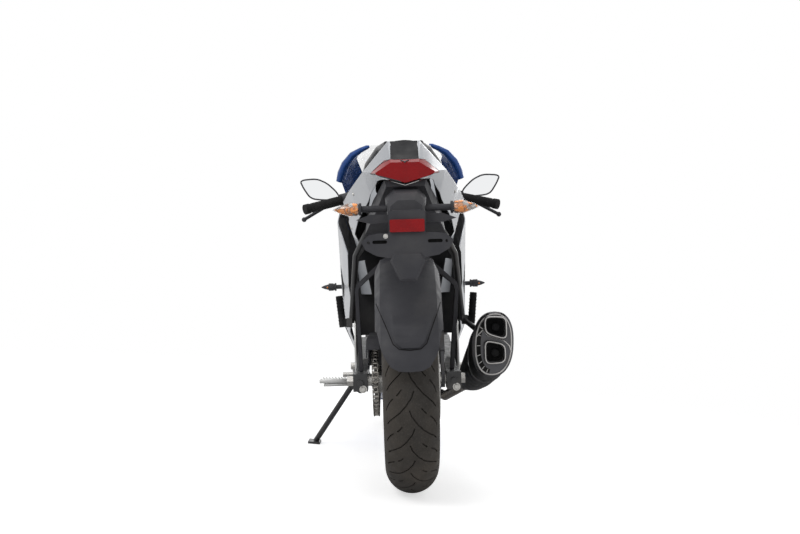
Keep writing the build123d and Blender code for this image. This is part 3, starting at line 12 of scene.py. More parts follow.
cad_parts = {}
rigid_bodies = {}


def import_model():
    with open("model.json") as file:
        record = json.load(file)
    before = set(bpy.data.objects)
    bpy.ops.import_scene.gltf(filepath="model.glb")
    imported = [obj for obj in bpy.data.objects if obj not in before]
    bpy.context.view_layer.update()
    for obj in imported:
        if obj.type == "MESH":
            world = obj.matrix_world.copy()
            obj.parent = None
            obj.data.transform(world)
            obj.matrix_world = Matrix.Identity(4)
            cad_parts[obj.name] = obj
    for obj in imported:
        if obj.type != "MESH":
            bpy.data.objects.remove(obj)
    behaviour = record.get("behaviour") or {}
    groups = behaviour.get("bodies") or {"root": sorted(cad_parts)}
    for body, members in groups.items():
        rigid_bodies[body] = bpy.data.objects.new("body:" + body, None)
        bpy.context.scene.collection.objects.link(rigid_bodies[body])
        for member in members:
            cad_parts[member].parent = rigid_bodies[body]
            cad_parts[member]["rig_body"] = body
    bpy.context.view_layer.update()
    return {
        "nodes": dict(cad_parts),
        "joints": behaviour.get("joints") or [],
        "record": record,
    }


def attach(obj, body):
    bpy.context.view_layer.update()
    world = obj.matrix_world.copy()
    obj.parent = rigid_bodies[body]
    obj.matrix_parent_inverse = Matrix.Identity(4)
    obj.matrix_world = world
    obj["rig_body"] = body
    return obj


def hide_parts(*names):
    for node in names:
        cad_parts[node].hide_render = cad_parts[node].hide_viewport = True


bl_info = {
    "name": "Sport Motorcycle",
    "version": (1, 0, 0),
    "blender": (4, 5, 0),
    "location": "3D View > Sidebar > Motorcycle",
    "description": "Dresses the packed frame of a sport motorcycle",
    "category": "Object",
}

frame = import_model()
NODES = frame["nodes"]
JOINTS = {joint["name"]: joint for joint in frame["joints"]}

# a millimetre in metres
MM = 0.001

# ---- the upright machine: millimetres, X to its right, Y forward, Z up -------------------------
REAR_R = 300.0
FRONT_R = 296.0
WHEELBASE = 1330.0
BEAD_R = 216.0
RIM_FLANGE = 10.0
RIM_DEPTH = 26.0
RAKE = radians(25)
FORK_X = 97.0
UP_FORK = Vector((0, -sin(RAKE), cos(RAKE)))
X = Vector((1, 0, 0))
Y = Vector((0, 1, 0))
Z = Vector((0, 0, 1))
REAR_AXLE = Vector((0, 0, REAR_R))
FRONT_AXLE = Vector((0, WHEELBASE, FRONT_R))

# name: axle, radius, half width of the tread, half width at the beads, body
WHEELS = {
    "rear": (REAR_AXLE, REAR_R, 70.0, 52.0, "rear_wheel"),
    "front": (FRONT_AXLE, FRONT_R, 50.0, 38.0, "front_wheel"),
}


def stance():
    """Takes a point of the upright machine, in millimetres, to its place on the leaning one."""
    joint = JOINTS["rear_wheel_turn"]
    right = Vector(joint["axis"])
    up = right.cross(Y)
    turn = Matrix((right, Y, up)).transposed()
    place = Vector(joint["pos_m"]) - turn @ (REAR_AXLE * MM)
    return Matrix.Translation(place) @ turn.to_4x4() @ Matrix.Scale(MM, 4)


STANCE = stance()


# ---- helpers for materials --------------------------------------------------------------------
def shade(colour, factor):
    """A colour made darker or lighter."""
    return tuple(min(1.0, c * factor) for c in colour[:3]) + (1.0,)


def set_range(node, low, high, start, end):
    """Sets what a map-range node takes and gives."""
    for key, number in (("From Min", low), ("From Max", high), ("To Min", start), ("To Max", end)):
        node.inputs[key].default_value = number


class Finish:
    """A procedural material on Object coordinates, built up step by step."""

    def __init__(self, name, colour, roughness, metallic=0.0, coat=0.0, specular=0.5):
        self.material = bpy.data.materials.new(name)
        self.material.use_nodes = True
        self.tree = self.material.node_tree
        self.shader = self.tree.nodes["Principled BSDF"]
        self.shader.inputs["Base Color"].default_value = shade(colour, 1)
        self.shader.inputs["Roughness"].default_value = roughness
        self.shader.inputs["Metallic"].default_value = metallic
        self.shader.inputs["Coat Weight"].default_value = coat
        self.shader.inputs["Coat Roughness"].default_value = 0.04
        self.shader.inputs["Specular IOR Level"].default_value = specular
        self.colour = None
        self.place = self.tree.nodes.new("ShaderNodeTexCoord").outputs["Object"]
        self.bump = None

    def node(self, kind, **inputs):
        """A node with some of its inputs set or linked."""
        made = self.tree.nodes.new(kind)
        for key, value in inputs.items():
            socket = made.inputs[key.replace("_", " ")]
            if isinstance(value, bpy.types.NodeSocket):
                self.tree.links.new(value, socket)
            else:
                socket.default_value = value
        return made

    def along(self, stretch):
        """The object's coordinates, stretched."""
        made = self.node("ShaderNodeMapping", Vector=self.place)
        made.inputs["Scale"].default_value = stretch
        return made.outputs[0]

    def noise(self, scale, detail=3.0, rough=0.5, place=None):
        """Soft noise, about nought to one."""
        made = self.node("ShaderNodeTexNoise", Vector=place or self.place, Scale=scale, Detail=detail)
        made.inputs["Roughness"].default_value = rough
        return made.outputs["Fac"]

    def cells(self, scale, feature="F1"):
        """Cell pattern: distance within each cell, and a random colour for each."""
        made = self.node("ShaderNodeTexVoronoi", Vector=self.place, Scale=scale)
        made.feature = feature
        return made

    def ramp(self, value, low, high, start=0.0, end=1.0):
        """A value remapped, clamped at both ends."""
        made = self.node("ShaderNodeMapRange", Value=value)
        set_range(made, low, high, start, end)
        return made.outputs[0]

    def mix(self, share, colour):
        """Lays another colour over the present one, by a share between nought and one."""
        made = self.tree.nodes.new("ShaderNodeMix")
        made.data_type = "RGBA"
        self.tree.links.new(share, made.inputs[0])
        if self.colour:
            self.tree.links.new(self.colour, made.inputs[6])
        else:
            made.inputs[6].default_value = self.shader.inputs["Base Color"].default_value
        made.inputs[7].default_value = shade(colour, 1)
        self.colour = made.outputs[2]
        self.tree.links.new(self.colour, self.shader.inputs["Base Color"])
        return self

    def rough(self, value, low, high):
        """Roughness that varies with a pattern."""
        self.tree.links.new(self.ramp(value, 0.3, 0.7, low, high), self.shader.inputs["Roughness"])
        return self

    def relief(self, value, strength, distance):
        """Fine relief, on top of what is there already."""
        made = self.node("ShaderNodeBump", Height=value, Strength=strength, Distance=distance)
        if self.bump:
            self.tree.links.new(self.bump, made.inputs["Normal"])
        self.bump = made.outputs[0]
        self.tree.links.new(self.bump, self.shader.inputs["Normal"])
        return self

    def clear(self, transmission, alpha):
        """Lets light through, as clear plastic does."""
        self.shader.inputs["Transmission Weight"].default_value = transmission
        self.shader.inputs["Alpha"].default_value = alpha
        self.shader.inputs["IOR"].default_value = 1.45
        return self


def moulded(name, colour, roughness=0.55, grain=900, dust=0.12, specular=0.3):
    """Matt moulded plastic with fine grain and a little dust."""
    made = Finish(name, colour, roughness, specular=specular)
    made.mix(made.ramp(made.noise(9, 5), 0.45, 0.75, 0, dust), (0.30, 0.29, 0.27))
    made.rough(made.noise(30, 3), roughness - 0.08, roughness + 0.12)
    return made.relief(made.cells(grain).outputs["Distance"], 0.25, 0.0004)


def painted(name, colour, flake, metallic):
    """Metallic paint under clear lacquer."""
    made = Finish(name, colour, 0.42, metallic=metallic, coat=0.35, specular=0.35)
    made.shader.inputs["Coat Roughness"].default_value = 0.12
    cells = made.cells(2600)
    made.mix(made.ramp(cells.outputs["Distance"], 0.2, 0.7, 0.0, 0.35), flake)
    made.mix(made.ramp(made.noise(6, 4), 0.5, 0.8, 0, 0.10), shade(colour, 0.6))
    return made.relief(made.noise(260, 2), 0.02, 0.0003)


def machined(name, colour, roughness, grain=500, grime=0.25, stretch=(1, 1, 1)):
    """Bare metal with fine tool marks and some grime."""
    made = Finish(name, colour, roughness, metallic=1.0)
    marks = made.noise(grain, 4, 0.6, made.along(stretch))
    made.mix(made.ramp(made.noise(22, 5), 0.48, 0.75, 0, grime), (0.09, 0.075, 0.06))
    made.rough(marks, max(0.05, roughness - 0.1), roughness + 0.15)
    return made.relief(marks, 0.12, 0.0003)


def coated(name, colour, roughness=0.4, grain=420):
    """Enamel or powder coat on metal, a little worn."""
    made = Finish(name, colour, roughness, coat=0.25)
    made.mix(made.ramp(made.noise(14, 6), 0.55, 0.8, 0, 0.2), (0.25, 0.22, 0.19))
    made.rough(made.noise(45, 3), roughness - 0.08, roughness + 0.15)
    return made.relief(made.noise(grain, 2), 0.15, 0.0004)


# finishes of one kind each: the kind, the slot, the material's name and what the kind takes after it
PLAIN_FINISHES = (
    (coated, "wheel_paint", "wheel_enamel", (0.022, 0.023, 0.026), 0.32),
    (machined, "steel", "bright_steel", (0.50, 0.49, 0.47), 0.28, 700),
    (machined, "chain_steel", "oiled_steel", (0.40, 0.38, 0.35), 0.32, 420, 0.55),
    (coated, "dark_metal", "frame_enamel", (0.018, 0.018, 0.020), 0.38),
    (machined, "dark_alloy", "dark_alloy", (0.10, 0.10, 0.105), 0.45, 600, 0.4),
    (machined, "alloy", "cast_alloy", (0.56, 0.56, 0.55), 0.36, 380),
    (machined, "engine_alloy", "crankcase_alloy", (0.20, 0.20, 0.205), 0.5, 260, 0.4),
    (moulded, "exhaust_black", "heatproof_black", (0.008, 0.008, 0.009), 0.6, 700, 0.05, 0.12),
    (machined, "chrome_trim", "satin_trim", (0.62, 0.62, 0.61), 0.22, 300, 0.3, (1, 1, 8)),
    (coated, "spring_paint", "spring_enamel", (0.30, 0.028, 0.02), 0.35),
    (moulded, "rubber", "grip_rubber", (0.016, 0.016, 0.017), 0.75, 700, 0.12, 0.12),
    (machined, "pale_rim", "pale_rim", (0.42, 0.41, 0.40), 0.38, 300, 0.2),
    (machined, "cap_metal", "cap_metal", (0.085, 0.085, 0.09), 0.4, 380, 0.3),
    (moulded, "inner_black", "inner_black", (0.014, 0.014, 0.016), 0.75, 600, 0.08),
    # near-black: painted shade in the hugger's groove, the louvres and behind the carrier's slots, and soot
    # with painted shade inside the exhaust's outlets
    (moulded, "soot", "soot", (0.006, 0.006, 0.006), 0.9, 500, 0.05),
)


def tread_rubber(colour):
    """Dusty black rubber with a fine grain."""
    made = Finish("tread_rubber", colour, 0.78, specular=0.3)
    made.mix(made.ramp(made.noise(7, 6, 0.6), 0.42, 0.72, 0, 0.5), (0.105, 0.088, 0.07))
    made.mix(made.ramp(made.noise(260, 3), 0.55, 0.75, 0, 0.25), (0.16, 0.14, 0.12))
    made.rough(made.noise(40, 4), 0.66, 0.9)
    return made.relief(made.noise(900, 4, 0.7), 0.35, 0.0005)


def heated_steel():
    """Steel that heat has browned and blued in patches."""
    made = Finish("heated_steel", (0.13, 0.12, 0.105), 0.35, metallic=1.0)
    made.mix(made.ramp(made.noise(5, 4), 0.4, 0.7, 0, 0.7), (0.10, 0.065, 0.04))
    made.mix(made.ramp(made.noise(9, 3), 0.55, 0.7, 0, 0.4), (0.06, 0.065, 0.10))
    return made.rough(made.noise(60, 4), 0.2, 0.45)


def seat_cover():
    """Black vinyl with a leather grain."""
    made = Finish("seat_cover", (0.008, 0.008, 0.009), 0.7, specular=0.03)
    made.mix(made.ramp(made.noise(12, 4), 0.5, 0.8, 0, 0.1), (0.06, 0.06, 0.057))
    creases = made.cells(420, "DISTANCE_TO_EDGE").outputs["Distance"]
    made.rough(made.noise(50, 3), 0.6, 0.8)
    return made.relief(made.ramp(creases, 0.0, 0.12), 0.3, 0.0006)


def red_lens():
    """Red plastic over a grid of small prisms, with a painted glint along their edges."""
    made = Finish("red_lens", (0.34, 0.003, 0.006), 0.14, specular=0.2)
    made.mix(made.ramp(made.noise(30, 2), 0.45, 0.75, 0, 0.5), (0.20, 0.003, 0.006))
    grid = made.cells(260, "DISTANCE_TO_EDGE").outputs["Distance"]
    # brighter red along the edges of the prism grid: a painted glint of the prisms
    made.mix(made.ramp(grid, 0.0, 0.08, 0.35, 0.0), (0.62, 0.02, 0.02))
    return made.relief(grid, 0.12, 0.0006)


def clear_lens():
    """Clear plastic, a little hazed."""
    made = Finish("clear_lens", (0.80, 0.82, 0.84), 0.05, coat=1.0).clear(0.5, 0.30)
    made.mix(made.ramp(made.noise(60, 2), 0.45, 0.7, 0, 0.6), (0.45, 0.46, 0.47))
    return made.relief(made.noise(90, 2), 0.05, 0.0005)


def lamp_facets():
    """Bright facets, some painted orange as if lit by the bulb, with painted shade towards each facet's edge.
    """
    made = Finish("lamp_facets", (0.42, 0.40, 0.38), 0.16, metallic=1.0)
    facet_lighting = made.cells(85)
    # orange on some facets: painted light from the bulb, which does not glow
    made.mix(made.ramp(facet_lighting.outputs["Color"], 0.25, 0.5), (0.85, 0.28, 0.02))
    # darker towards each facet's edge: painted shade between the facets
    made.mix(made.ramp(facet_lighting.outputs["Distance"], 0.5, 0.9), (0.10, 0.05, 0.03))
    return made.relief(facet_lighting.outputs["Distance"], 0.5, 0.002)


def windscreen_plastic():
    """Nearly clear screen."""
    made = Finish("screen", (0.90, 0.92, 0.94), 0.04, coat=1.0).clear(0.5, 0.16)
    return made.relief(made.noise(8, 2), 0.02, 0.001)


def mirror_face():
    """Silvered glass."""
    made = Finish("mirror_glass", (0.86, 0.87, 0.88), 0.03, metallic=1.0)
    return made.relief(made.noise(4, 1), 0.01, 0.001)


def amber_bulb():
    """Orange glass of a bulb."""
    made = Finish("amber_bulb", (0.90, 0.26, 0.01), 0.15, coat=1.0)
    return made.relief(made.noise(120), 0.1, 0.0005)


def make_finishes(colours):
    """Every finish, by the record's material slot or by a name of its own."""
    made = {slot: kind(*values) for kind, slot, *values in PLAIN_FINISHES}
    made["tyre"] = tread_rubber(colours.rubber)
    made["exhaust_steel"] = heated_steel()
    made["silver_paint"] = painted("pearl_silver", colours.silver, (0.60, 0.61, 0.64), 0.2)
    made["blue_paint"] = painted("deep_blue", colours.blue, (0.03, 0.16, 0.52), 0.45)
    made["black_plastic"] = moulded("black_moulding", colours.moulding)
    made["seat_vinyl"] = seat_cover()
    made["red_lens"] = red_lens()
    made["clear_lens"] = clear_lens()
    made["facets"] = lamp_facets()
    made["screen"] = windscreen_plastic()
    made["mirror_glass"] = mirror_face()
    made["amber"] = amber_bulb()
    return {slot: finish.material for slot, finish in made.items()}


FINISHES = {}


# ---- helpers for pieces -------------------------------------------------------------------------
def frame_at(origin, out, up=Z):
    """A placing matrix whose Z points out and whose Y is near up."""
    out = Vector(out).normalized()
    side = Vector(up).cross(out)
    if side.length < 1e-6:
        side = X.copy()
    side.normalize()
    turn = Matrix((side, out.cross(side), out)).transposed().to_4x4()
    return Matrix.Translation(Vector(origin)) @ turn


def disc(bm, matrix, radius, thickness, sides=24, top=None):
    """A short closed cylinder or cone standing on its base at the matrix's origin."""
    made = bmesh.ops.create_cone(
        bm,
        cap_ends=True,
        segments=sides,
        radius1=radius,
        radius2=radius if top is None else top,
        depth=thickness,
        matrix=matrix @ Matrix.Translation((0, 0, thickness / 2)),
    )
    return made["verts"]


def block(bm, matrix, size):
    """A box about the matrix's origin."""
    scale = Matrix.Diagonal((*size, 1))
    return bmesh.ops.create_cube(bm, size=1, matrix=matrix @ scale)["verts"]


def spin_round(bm, geom, centre, axis, steps):
    """Turns some geometry once round an axis."""
    bmesh.ops.spin(bm, geom=geom, cent=centre, axis=axis, angle=2 * pi, steps=steps, use_merge=True)


def ring(bm, matrix, radius, thick, sides=32, thick_sides=8):
    """A round ring lying in the matrix's XY plane."""
    centre = matrix @ Vector((0, 0, 0))
    axis = (matrix.to_3x3() @ Z).normalized()
    side = (matrix.to_3x3() @ X).normalized()
    section = Matrix((side, axis, side.cross(axis))).transposed().to_4x4()
    place = Matrix.Translation(centre + side * radius) @ section
    loop = bmesh.ops.create_circle(bm, segments=thick_sides, radius=thick, matrix=place)["verts"]
    edges = list({edge for vert in loop for edge in vert.link_edges})
    spin_round(bm, loop + edges, centre, axis, sides)


def tube(bm, points, radius, sides=10):
    """A round bar through some points, closed at both ends; radius may be a list, one for each point."""
    points = [Vector(p) for p in points]
    radii = radius if isinstance(radius, (list, tuple)) else [radius] * len(points)
    rings = []
    for k, point in enumerate(points):
        ahead = (points[min(k + 1, len(points) - 1)] - points[max(k - 1, 0)]).normalized()
        place = frame_at(point, ahead, Z if abs(ahead.z) < 0.9 else Y)
        made = bmesh.ops.create_circle(bm, segments=sides, radius=radii[k], matrix=place)["verts"]
        rings.append(list({edge for vert in made for edge in vert.link_edges}))
    for a, b in zip(rings, rings[1:]):
        bmesh.ops.bridge_loops(bm, edges=a + b)
    bmesh.ops.holes_fill(bm, edges=rings[0] + rings[-1], sides=sides)


def oval_point(a, y, row, square=0.85, lean=0.12):
    """A point of a squarish oval; row is its centre X and Z, half width and half height."""
    cx, cz, w, h = row
    c, s = cos(a), sin(a)
    across = abs(c) ** square * (1 if c > 0 else -1) + lean * s
    return Vector((cx + w * across, y, cz + h * abs(s) ** square * (1 if s > 0 else -1)))


def oval(y, row, sides=40, **shape):
    """A closed loop of such points."""
    return [oval_point(2 * pi * k / sides, y, row, **shape) for k in range(sides)]


def skin(bm, rows, shut="caps"):
    """Joins closed loops of points; the ends are capped, or the last loop joins the first."""
    rings = []
    for row in rows:
        verts = [bm.verts.new(point) for point in row]
        rings.append([bm.edges.new(pair) for pair in zip(verts, verts[1:] + verts[:1])])
    if shut == "round":
        rings.append(rings[0])
    for a, b in zip(rings, rings[1:]):
        bmesh.ops.bridge_loops(bm, edges=a + b)
    if shut == "caps":
        for end in (rings[0], rings[-1]):
            bmesh.ops.contextual_create(bm, geom=end)


def corners_cut(points, rounds=2, share=0.2):
    """A closed outline with its corners cut off again and again."""
    for _ in range(rounds):
        cut_points = []
        for a, b in zip(points, points[1:] + points[:1]):
            cut_points += [a.lerp(b, share), b.lerp(a, share)]
        points = cut_points
    return points


def soften(bm, width, segments=2, sharp=30):
    """Rounds the edges that turn by more than an angle."""
    edges = [e for e in bm.edges if len(e.link_faces) == 2 and e.calc_face_angle(0) > radians(sharp)]
    bmesh.ops.bevel(
        bm,
        geom=edges,
        offset=width,
        segments=segments,
        profile=0.5,
        affect="EDGES",
        material=-1,
        clamp_overlap=True,
    )


def round_edges(made, width, angle):
    """A modifier that rounds a piece's edges; the width is in metres, the angle in degrees."""
    bevel = made.modifiers.new("edges", "BEVEL")
    bevel.width = width
    bevel.segments = 2
    bevel.limit_method = "ANGLE"
    bevel.angle_limit = radians(angle)
    bevel.harden_normals = True


def mirror_across(bm):
    """Adds the mirror image on the other side of the machine."""
    made = bmesh.ops.duplicate(bm, geom=bm.verts[:] + bm.edges[:] + bm.faces[:])["geom"]
    verts = [v for v in made if isinstance(v, bmesh.types.BMVert)]
    bmesh.ops.scale(bm, vec=(-1, 1, 1), verts=verts)
    bmesh.ops.reverse_faces(bm, faces=[f for f in made if isinstance(f, bmesh.types.BMFace)])


def piece(name, bm, finish, body, slot=None, stands_for=(), sharp=32, upright=True, second=None):
    """Turns a bmesh of the upright machine into a finished piece that rides on a body."""
    bmesh.ops.remove_doubles(bm, verts=bm.verts[:], dist=MM if upright else MM * MM)
    bmesh.ops.recalc_face_normals(bm, faces=bm.faces[:])
    if upright:
        bmesh.ops.transform(bm, matrix=STANCE, verts=bm.verts[:])
    mesh = bpy.data.meshes.new(name)
    bm.to_mesh(mesh)
    bm.free()
    mesh.shade_smooth()
    mesh.set_sharp_from_angle(angle=radians(sharp))
    made = bpy.data.objects.new(name, mesh)
    bpy.context.scene.collection.objects.link(made)
    mesh.materials.append(FINISHES[finish])
    if second:
        mesh.materials.append(FINISHES[second])
    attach(made, body)
    if stands_for:
        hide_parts(*stands_for)
    return made


def node_bmesh(node):
    """A merged copy of a frame piece's mesh, in metres, as it stands."""
    bm = bmesh.new()
    bm.from_mesh(NODES[node].data)
    bmesh.ops.remove_doubles(bm, verts=bm.verts[:], dist=1e-5)
    flat = radians(0.6)
    bmesh.ops.dissolve_limit(bm, angle_limit=flat, verts=bm.verts[:], edges=bm.edges[:])
    return bm


def surface(*nodes):
    """A tree of frame pieces' faces on the upright machine, for laying things on."""
    bm = bmesh.new()
    for node in nodes:
        bm.from_mesh(NODES[node].data)
    bmesh.ops.transform(bm, matrix=STANCE.inverted(), verts=bm.verts[:])
    made = BVHTree.FromBMesh(bm)
    bm.free()
    return made


# where lines start that are laid on from behind
BEHIND_Y = -900.0


def laid(tree, points, way, lift=0.3, step=12.0):
    """Points of a line, moved along a direction until they lie just above a surface."""
    way = Vector(way).normalized()
    made = []
    for a, b in zip(points, points[1:]):
        a, b = Vector(a), Vector(b)
        count = max(1, round((b - a).length / step))
        for k in range(count + (b == Vector(points[-1]))):
            place, normal = tree.ray_cast(a.lerp(b, k / count), way)[:2]
            if place:
                made.append(place + normal * (lift if normal.dot(way) < 0 else -lift))
    return made


def from_behind(points):
    """Points given as X and Z, put behind the machine."""
    return [Vector((x, BEHIND_Y, z)) for x, z in points]


def screw(bm, at, out, radius=5.0, height=2.4):
    """A domed screw head with a six-sided socket."""
    place = frame_at(at, out)
    disc(bm, place @ Matrix.Translation((0, 0, -1)), radius * 1.25, 1.6, 20)
    disc(bm, place, radius, height, 18, radius * 0.72)
    disc(bm, place @ Matrix.Translation((0, 0, height - 0.2)), radius * 0.42, 0.5, 6, radius * 0.36)


def slot_of(node):
    """The record's material slot of a frame piece."""
    return next(row["material_slot"] for row in frame["record"]["subparts"] if row["node"] == node)


def body_of(node):
    """The body that carries a frame piece."""
    return NODES[node]["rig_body"]


# ---- properties ---------------------------------------------------------------------------------
class BikeColours(bpy.types.PropertyGroup):
    """Colours that a user would change."""

    silver: FloatVectorProperty(
        name="Silver",
        description="Paint of the tail, tank and side fairings",
        subtype="COLOR",
        size=3,
        default=(0.34, 0.36, 0.39),
    )
    blue: FloatVectorProperty(
        name="Blue",
        description="Paint of the front cowl, front fender and belly pan",
        subtype="COLOR",
        size=3,
        default=(0.004, 0.032, 0.17),
    )
    moulding: FloatVectorProperty(
        name="Mouldings",
        description="Unpainted plastic",
        subtype="COLOR",
        size=3,
        default=(0.046, 0.046, 0.053),
    )
    rubber: FloatVectorProperty(
        name="Tyres",
        description="Rubber of the treads and sidewalls",
        subtype="COLOR",
        size=3,
        default=(0.044, 0.040, 0.036),
    )


class BikeSizes(bpy.types.PropertyGroup):
    """Sizes that a user would change."""

    tread_pitches: IntProperty(
        name="Tread pitches", description="Sets of grooves round a tyre", default=20, min=12, max=30
    )
    groove_width: FloatProperty(
        name="Groove width",
        description="Width of a tread groove",
        unit="LENGTH",
        default=0.0034,
        min=0.0015,
        max=0.006,
    )
    groove_depth: FloatProperty(
        name="Groove depth",
        description="Depth of a tread groove",
        unit="LENGTH",
        default=0.0045,
        min=0.002,
        max=0.007,
    )
    moulding_edge: FloatProperty(
        name="Moulding edge",
        description="Radius on the edges of plastic mouldings and painted covers",
        unit="LENGTH",
        default=0.0012,
        min=0.0,
        max=0.003,
    )
    casting_edge: FloatProperty(
        name="Casting edge",
        description="Radius on the edges of metal castings",
        unit="LENGTH",
        default=0.002,
        min=0.0,
        max=0.004,
    )


class BikeTool:
    """Shared by the operators."""

    bl_options = {"REGISTER", "UNDO"}

    @property
    def sizes(self):
        return bpy.context.scene.bike_sizes


# ---- finishes -------------------------------------------------------------------------------------
class BIKE_OT_finishes(BikeTool, bpy.types.Operator):
    """Gives every frame piece its finish"""

    bl_idname = "bike.finishes"
    bl_label = "Finishes"

    def execute(self, context):
        FINISHES.update(make_finishes(context.scene.bike_colours))
        for name, node in NODES.items():
            node.data.materials.clear()
            node.data.materials.append(FINISHES[slot_of(name)])
        return {"FINISHED"}


# ---- tyres ----------------------------------------------------------------------------------------
# a set of grooves on the left half: shares of the half width across, and of a pitch back along the tread
GROOVES = (
    (
        (0.06, 0.0),
        (-0.02, -0.17),
        (-0.21, -0.38),
        (-0.43, -0.58),
        (-0.63, -0.73),
        (-0.78, -0.87),
        (-0.86, -1.0),
    ),
    ((-0.32, 0.02), (-0.41, -0.07), (-0.50, -0.15)),
    ((-0.63, -0.24), (-0.75, -0.36), (-0.84, -0.52), (-0.87, -0.62)),
)

# radius where a tread ends and the sidewall begins, steps across half a tread
TREAD_EDGE_R = BEAD_R + RIM_FLANGE + 14
TREAD_STEPS = 12
# the sidewall's first points: inward and down from the tread's edge
SHOULDER = ((0.6, 4), (3.2, 8))
# steps round one pitch, how far the cutting blades stand above the tread
PITCH_STEPS = 6
BLADE_LIFT = 3.0
# raised rings on the sidewalls: height above the rim's flange, thickness; share of the way out from the bead
WALL_RINGS = ((5, 0.9), (10, 0.6))
WALL_SHARE = 0.72


def crown_radius(radius, half):
    """Radius of a tread's crown in cross-section."""
    sag = radius - TREAD_EDGE_R
    return (half**2 + sag**2) / (2 * sag)


def tyre_profile(radius, half, seat):
    """Right half of the cross-section, from the middle of the tread to the bead."""
    crown = crown_radius(radius, half)
    edge = asin(half / crown) if radius - TREAD_EDGE_R < crown else pi / 2
    points = []
    for k in range(TREAD_STEPS + 1):
        a = edge * k / TREAD_STEPS
        points.append((crown * sin(a), radius - crown + crown * cos(a)))
    low = points[-1][1]
    points += [(half - inward, low - down) for inward, down in SHOULDER]
    flange = BEAD_R + RIM_FLANGE
    points += [(seat + 6, flange + 2), (seat, flange), (seat, BEAD_R)]
    return points


def tyre_sector(profile, angle, steps):
    """A closed slice of a tyre about the X axis, starting straight up."""
    bm = bmesh.new()
    outline = profile + [(-x, r) for x, r in reversed(profile[1:])]
    verts = [bm.verts.new((x, 0, r)) for x, r in outline]
    edges = [bm.edges.new((a, b)) for a, b in zip(verts, verts[1:] + verts[:1])]
    last = bmesh.ops.spin(
        bm, geom=verts + edges, cent=(0, 0, 0), axis=X, angle=angle, steps=steps, use_merge=False
    )["geom_last"]
    bmesh.ops.contextual_create(bm, geom=edges)
    bmesh.ops.contextual_create(bm, geom=[e for e in last if isinstance(e, bmesh.types.BMEdge)])
    bmesh.ops.recalc_face_normals(bm, faces=bm.faces[:])
    return bm


def groove_blades(radius, half, pitch_angle, width, depth):
    """Curved blades that cut one slice's grooves, with those that reach in from its neighbours."""
    crown = crown_radius(radius, half)
    bm = bmesh.new()
    for side, shift in ((1, 0.0), (-1, 0.5)):
        for groove in GROOVES:
            for turn in (-2, -1, 0, 1):
                lower, upper = [], []
                for across, back in groove:
                    a = asin(max(-1, min(1, side * across * half / crown)))
                    for row, lift in ((lower, -depth), (upper, BLADE_LIFT)):
                        x = (crown + lift) * sin(a)
                        r = radius - crown + (crown + lift) * cos(a)
                        t = (shift + turn - back) * pitch_angle
                        row.append(bm.verts.new((x, -r * sin(t), r * cos(t))))
                for k in range(len(groove) - 1):
                    bm.faces.new((lower[k], lower[k + 1], upper[k + 1], upper[k]))
    bmesh.ops.recalc_face_normals(bm, faces=bm.faces[:])
    bmesh.ops.solidify(bm, geom=bm.faces[:], thickness=width)
    bmesh.ops.recalc_face_normals(bm, faces=bm.faces[:])
    return bm


def scratch_object(name, bm):
    """A helper object for a boolean, deleted afterwards."""
    mesh = bpy.data.meshes.new(name)
    bm.to_mesh(mesh)
    bm.free()
    made = bpy.data.objects.new(name, mesh)
    bpy.context.scene.collection.objects.link(made)
    return made


def discard(scratch):
    """Removes a helper object and its mesh."""
    mesh = scratch.data
    bpy.data.objects.remove(scratch)
    bpy.data.meshes.remove(mesh)


def shaped(scratch):
    """What a helper object's modifiers make of its mesh; the object goes."""
    evaluated = scratch.evaluated_get(bpy.context.evaluated_depsgraph_get())
    made = bmesh.new()
    made.from_mesh(evaluated.to_mesh())
    evaluated.to_mesh_clear()
    discard(scratch)
    return made


def cut(bm, tool):
    """The first mesh less the second, by an exact boolean."""
    body = scratch_object("cut_body", bm)
    blade = scratch_object("cut_tool", tool)
    modifier = body.modifiers.new("cut", "BOOLEAN")
    modifier.operation = "DIFFERENCE"
    modifier.solver = "EXACT"
    modifier.use_self = True
    modifier.object = blade
    made = shaped(body)
    discard(blade)
    return made


def end_faces(bm, pitch):
    """The flat faces at both ends of a slice."""
    ends = []
    for face in bm.faces:
        c = face.calc_center_median()
        along = Vector((0, c.z, -c.y)).normalized()
        angle = atan2(c.y, c.z) % (2 * pi)
        near = min(angle, abs(angle - pitch), 2 * pi - angle)
        if abs(face.normal.dot(along)) > 0.98 and near < 1e-4:
            ends.append(face)
    return ends


class BIKE_OT_tyres(BikeTool, bpy.types.Operator):
    """Tyres with grooves cut into their treads"""

    bl_idname = "bike.tyres"
    bl_label = "Tyres"

    def execute(self, context):
        sizes = self.sizes
        pitch = 2 * pi / sizes.tread_pitches
        for name, (axle, radius, half, seat, body) in WHEELS.items():
            profile = tyre_profile(radius, half, seat)
            bm = tyre_sector(profile, -pitch, PITCH_STEPS)
            blades = groove_blades(radius, half, pitch, sizes.groove_width / MM, sizes.groove_depth / MM)
            bm = cut(bm, blades)
            bmesh.ops.delete(bm, geom=end_faces(bm, pitch), context="FACES")
            bmesh.ops.spin(
                bm,
                geom=bm.verts[:] + bm.edges[:] + bm.faces[:],
                cent=(0, 0, 0),
                axis=X,
                angle=2 * pi - pitch,
                steps=sizes.tread_pitches - 1,
                use_duplicate=True,
            )
            bmesh.ops.remove_doubles(bm, verts=bm.verts[:], dist=0.02)
            for side in (-1, 1):
                for height, thick in WALL_RINGS:
                    x = side * (seat + (half - seat) * WALL_SHARE)
                    ring(bm, frame_at((x, 0, 0), X), BEAD_R + RIM_FLANGE + height, thick, 96, 6)
            bmesh.ops.translate(bm, vec=axle, verts=bm.verts[:])
            piece(name + "_tyre_treaded", bm, "tyre", body, stands_for=(name + "_tyre",), sharp=40)
        return {"FINISHED"}


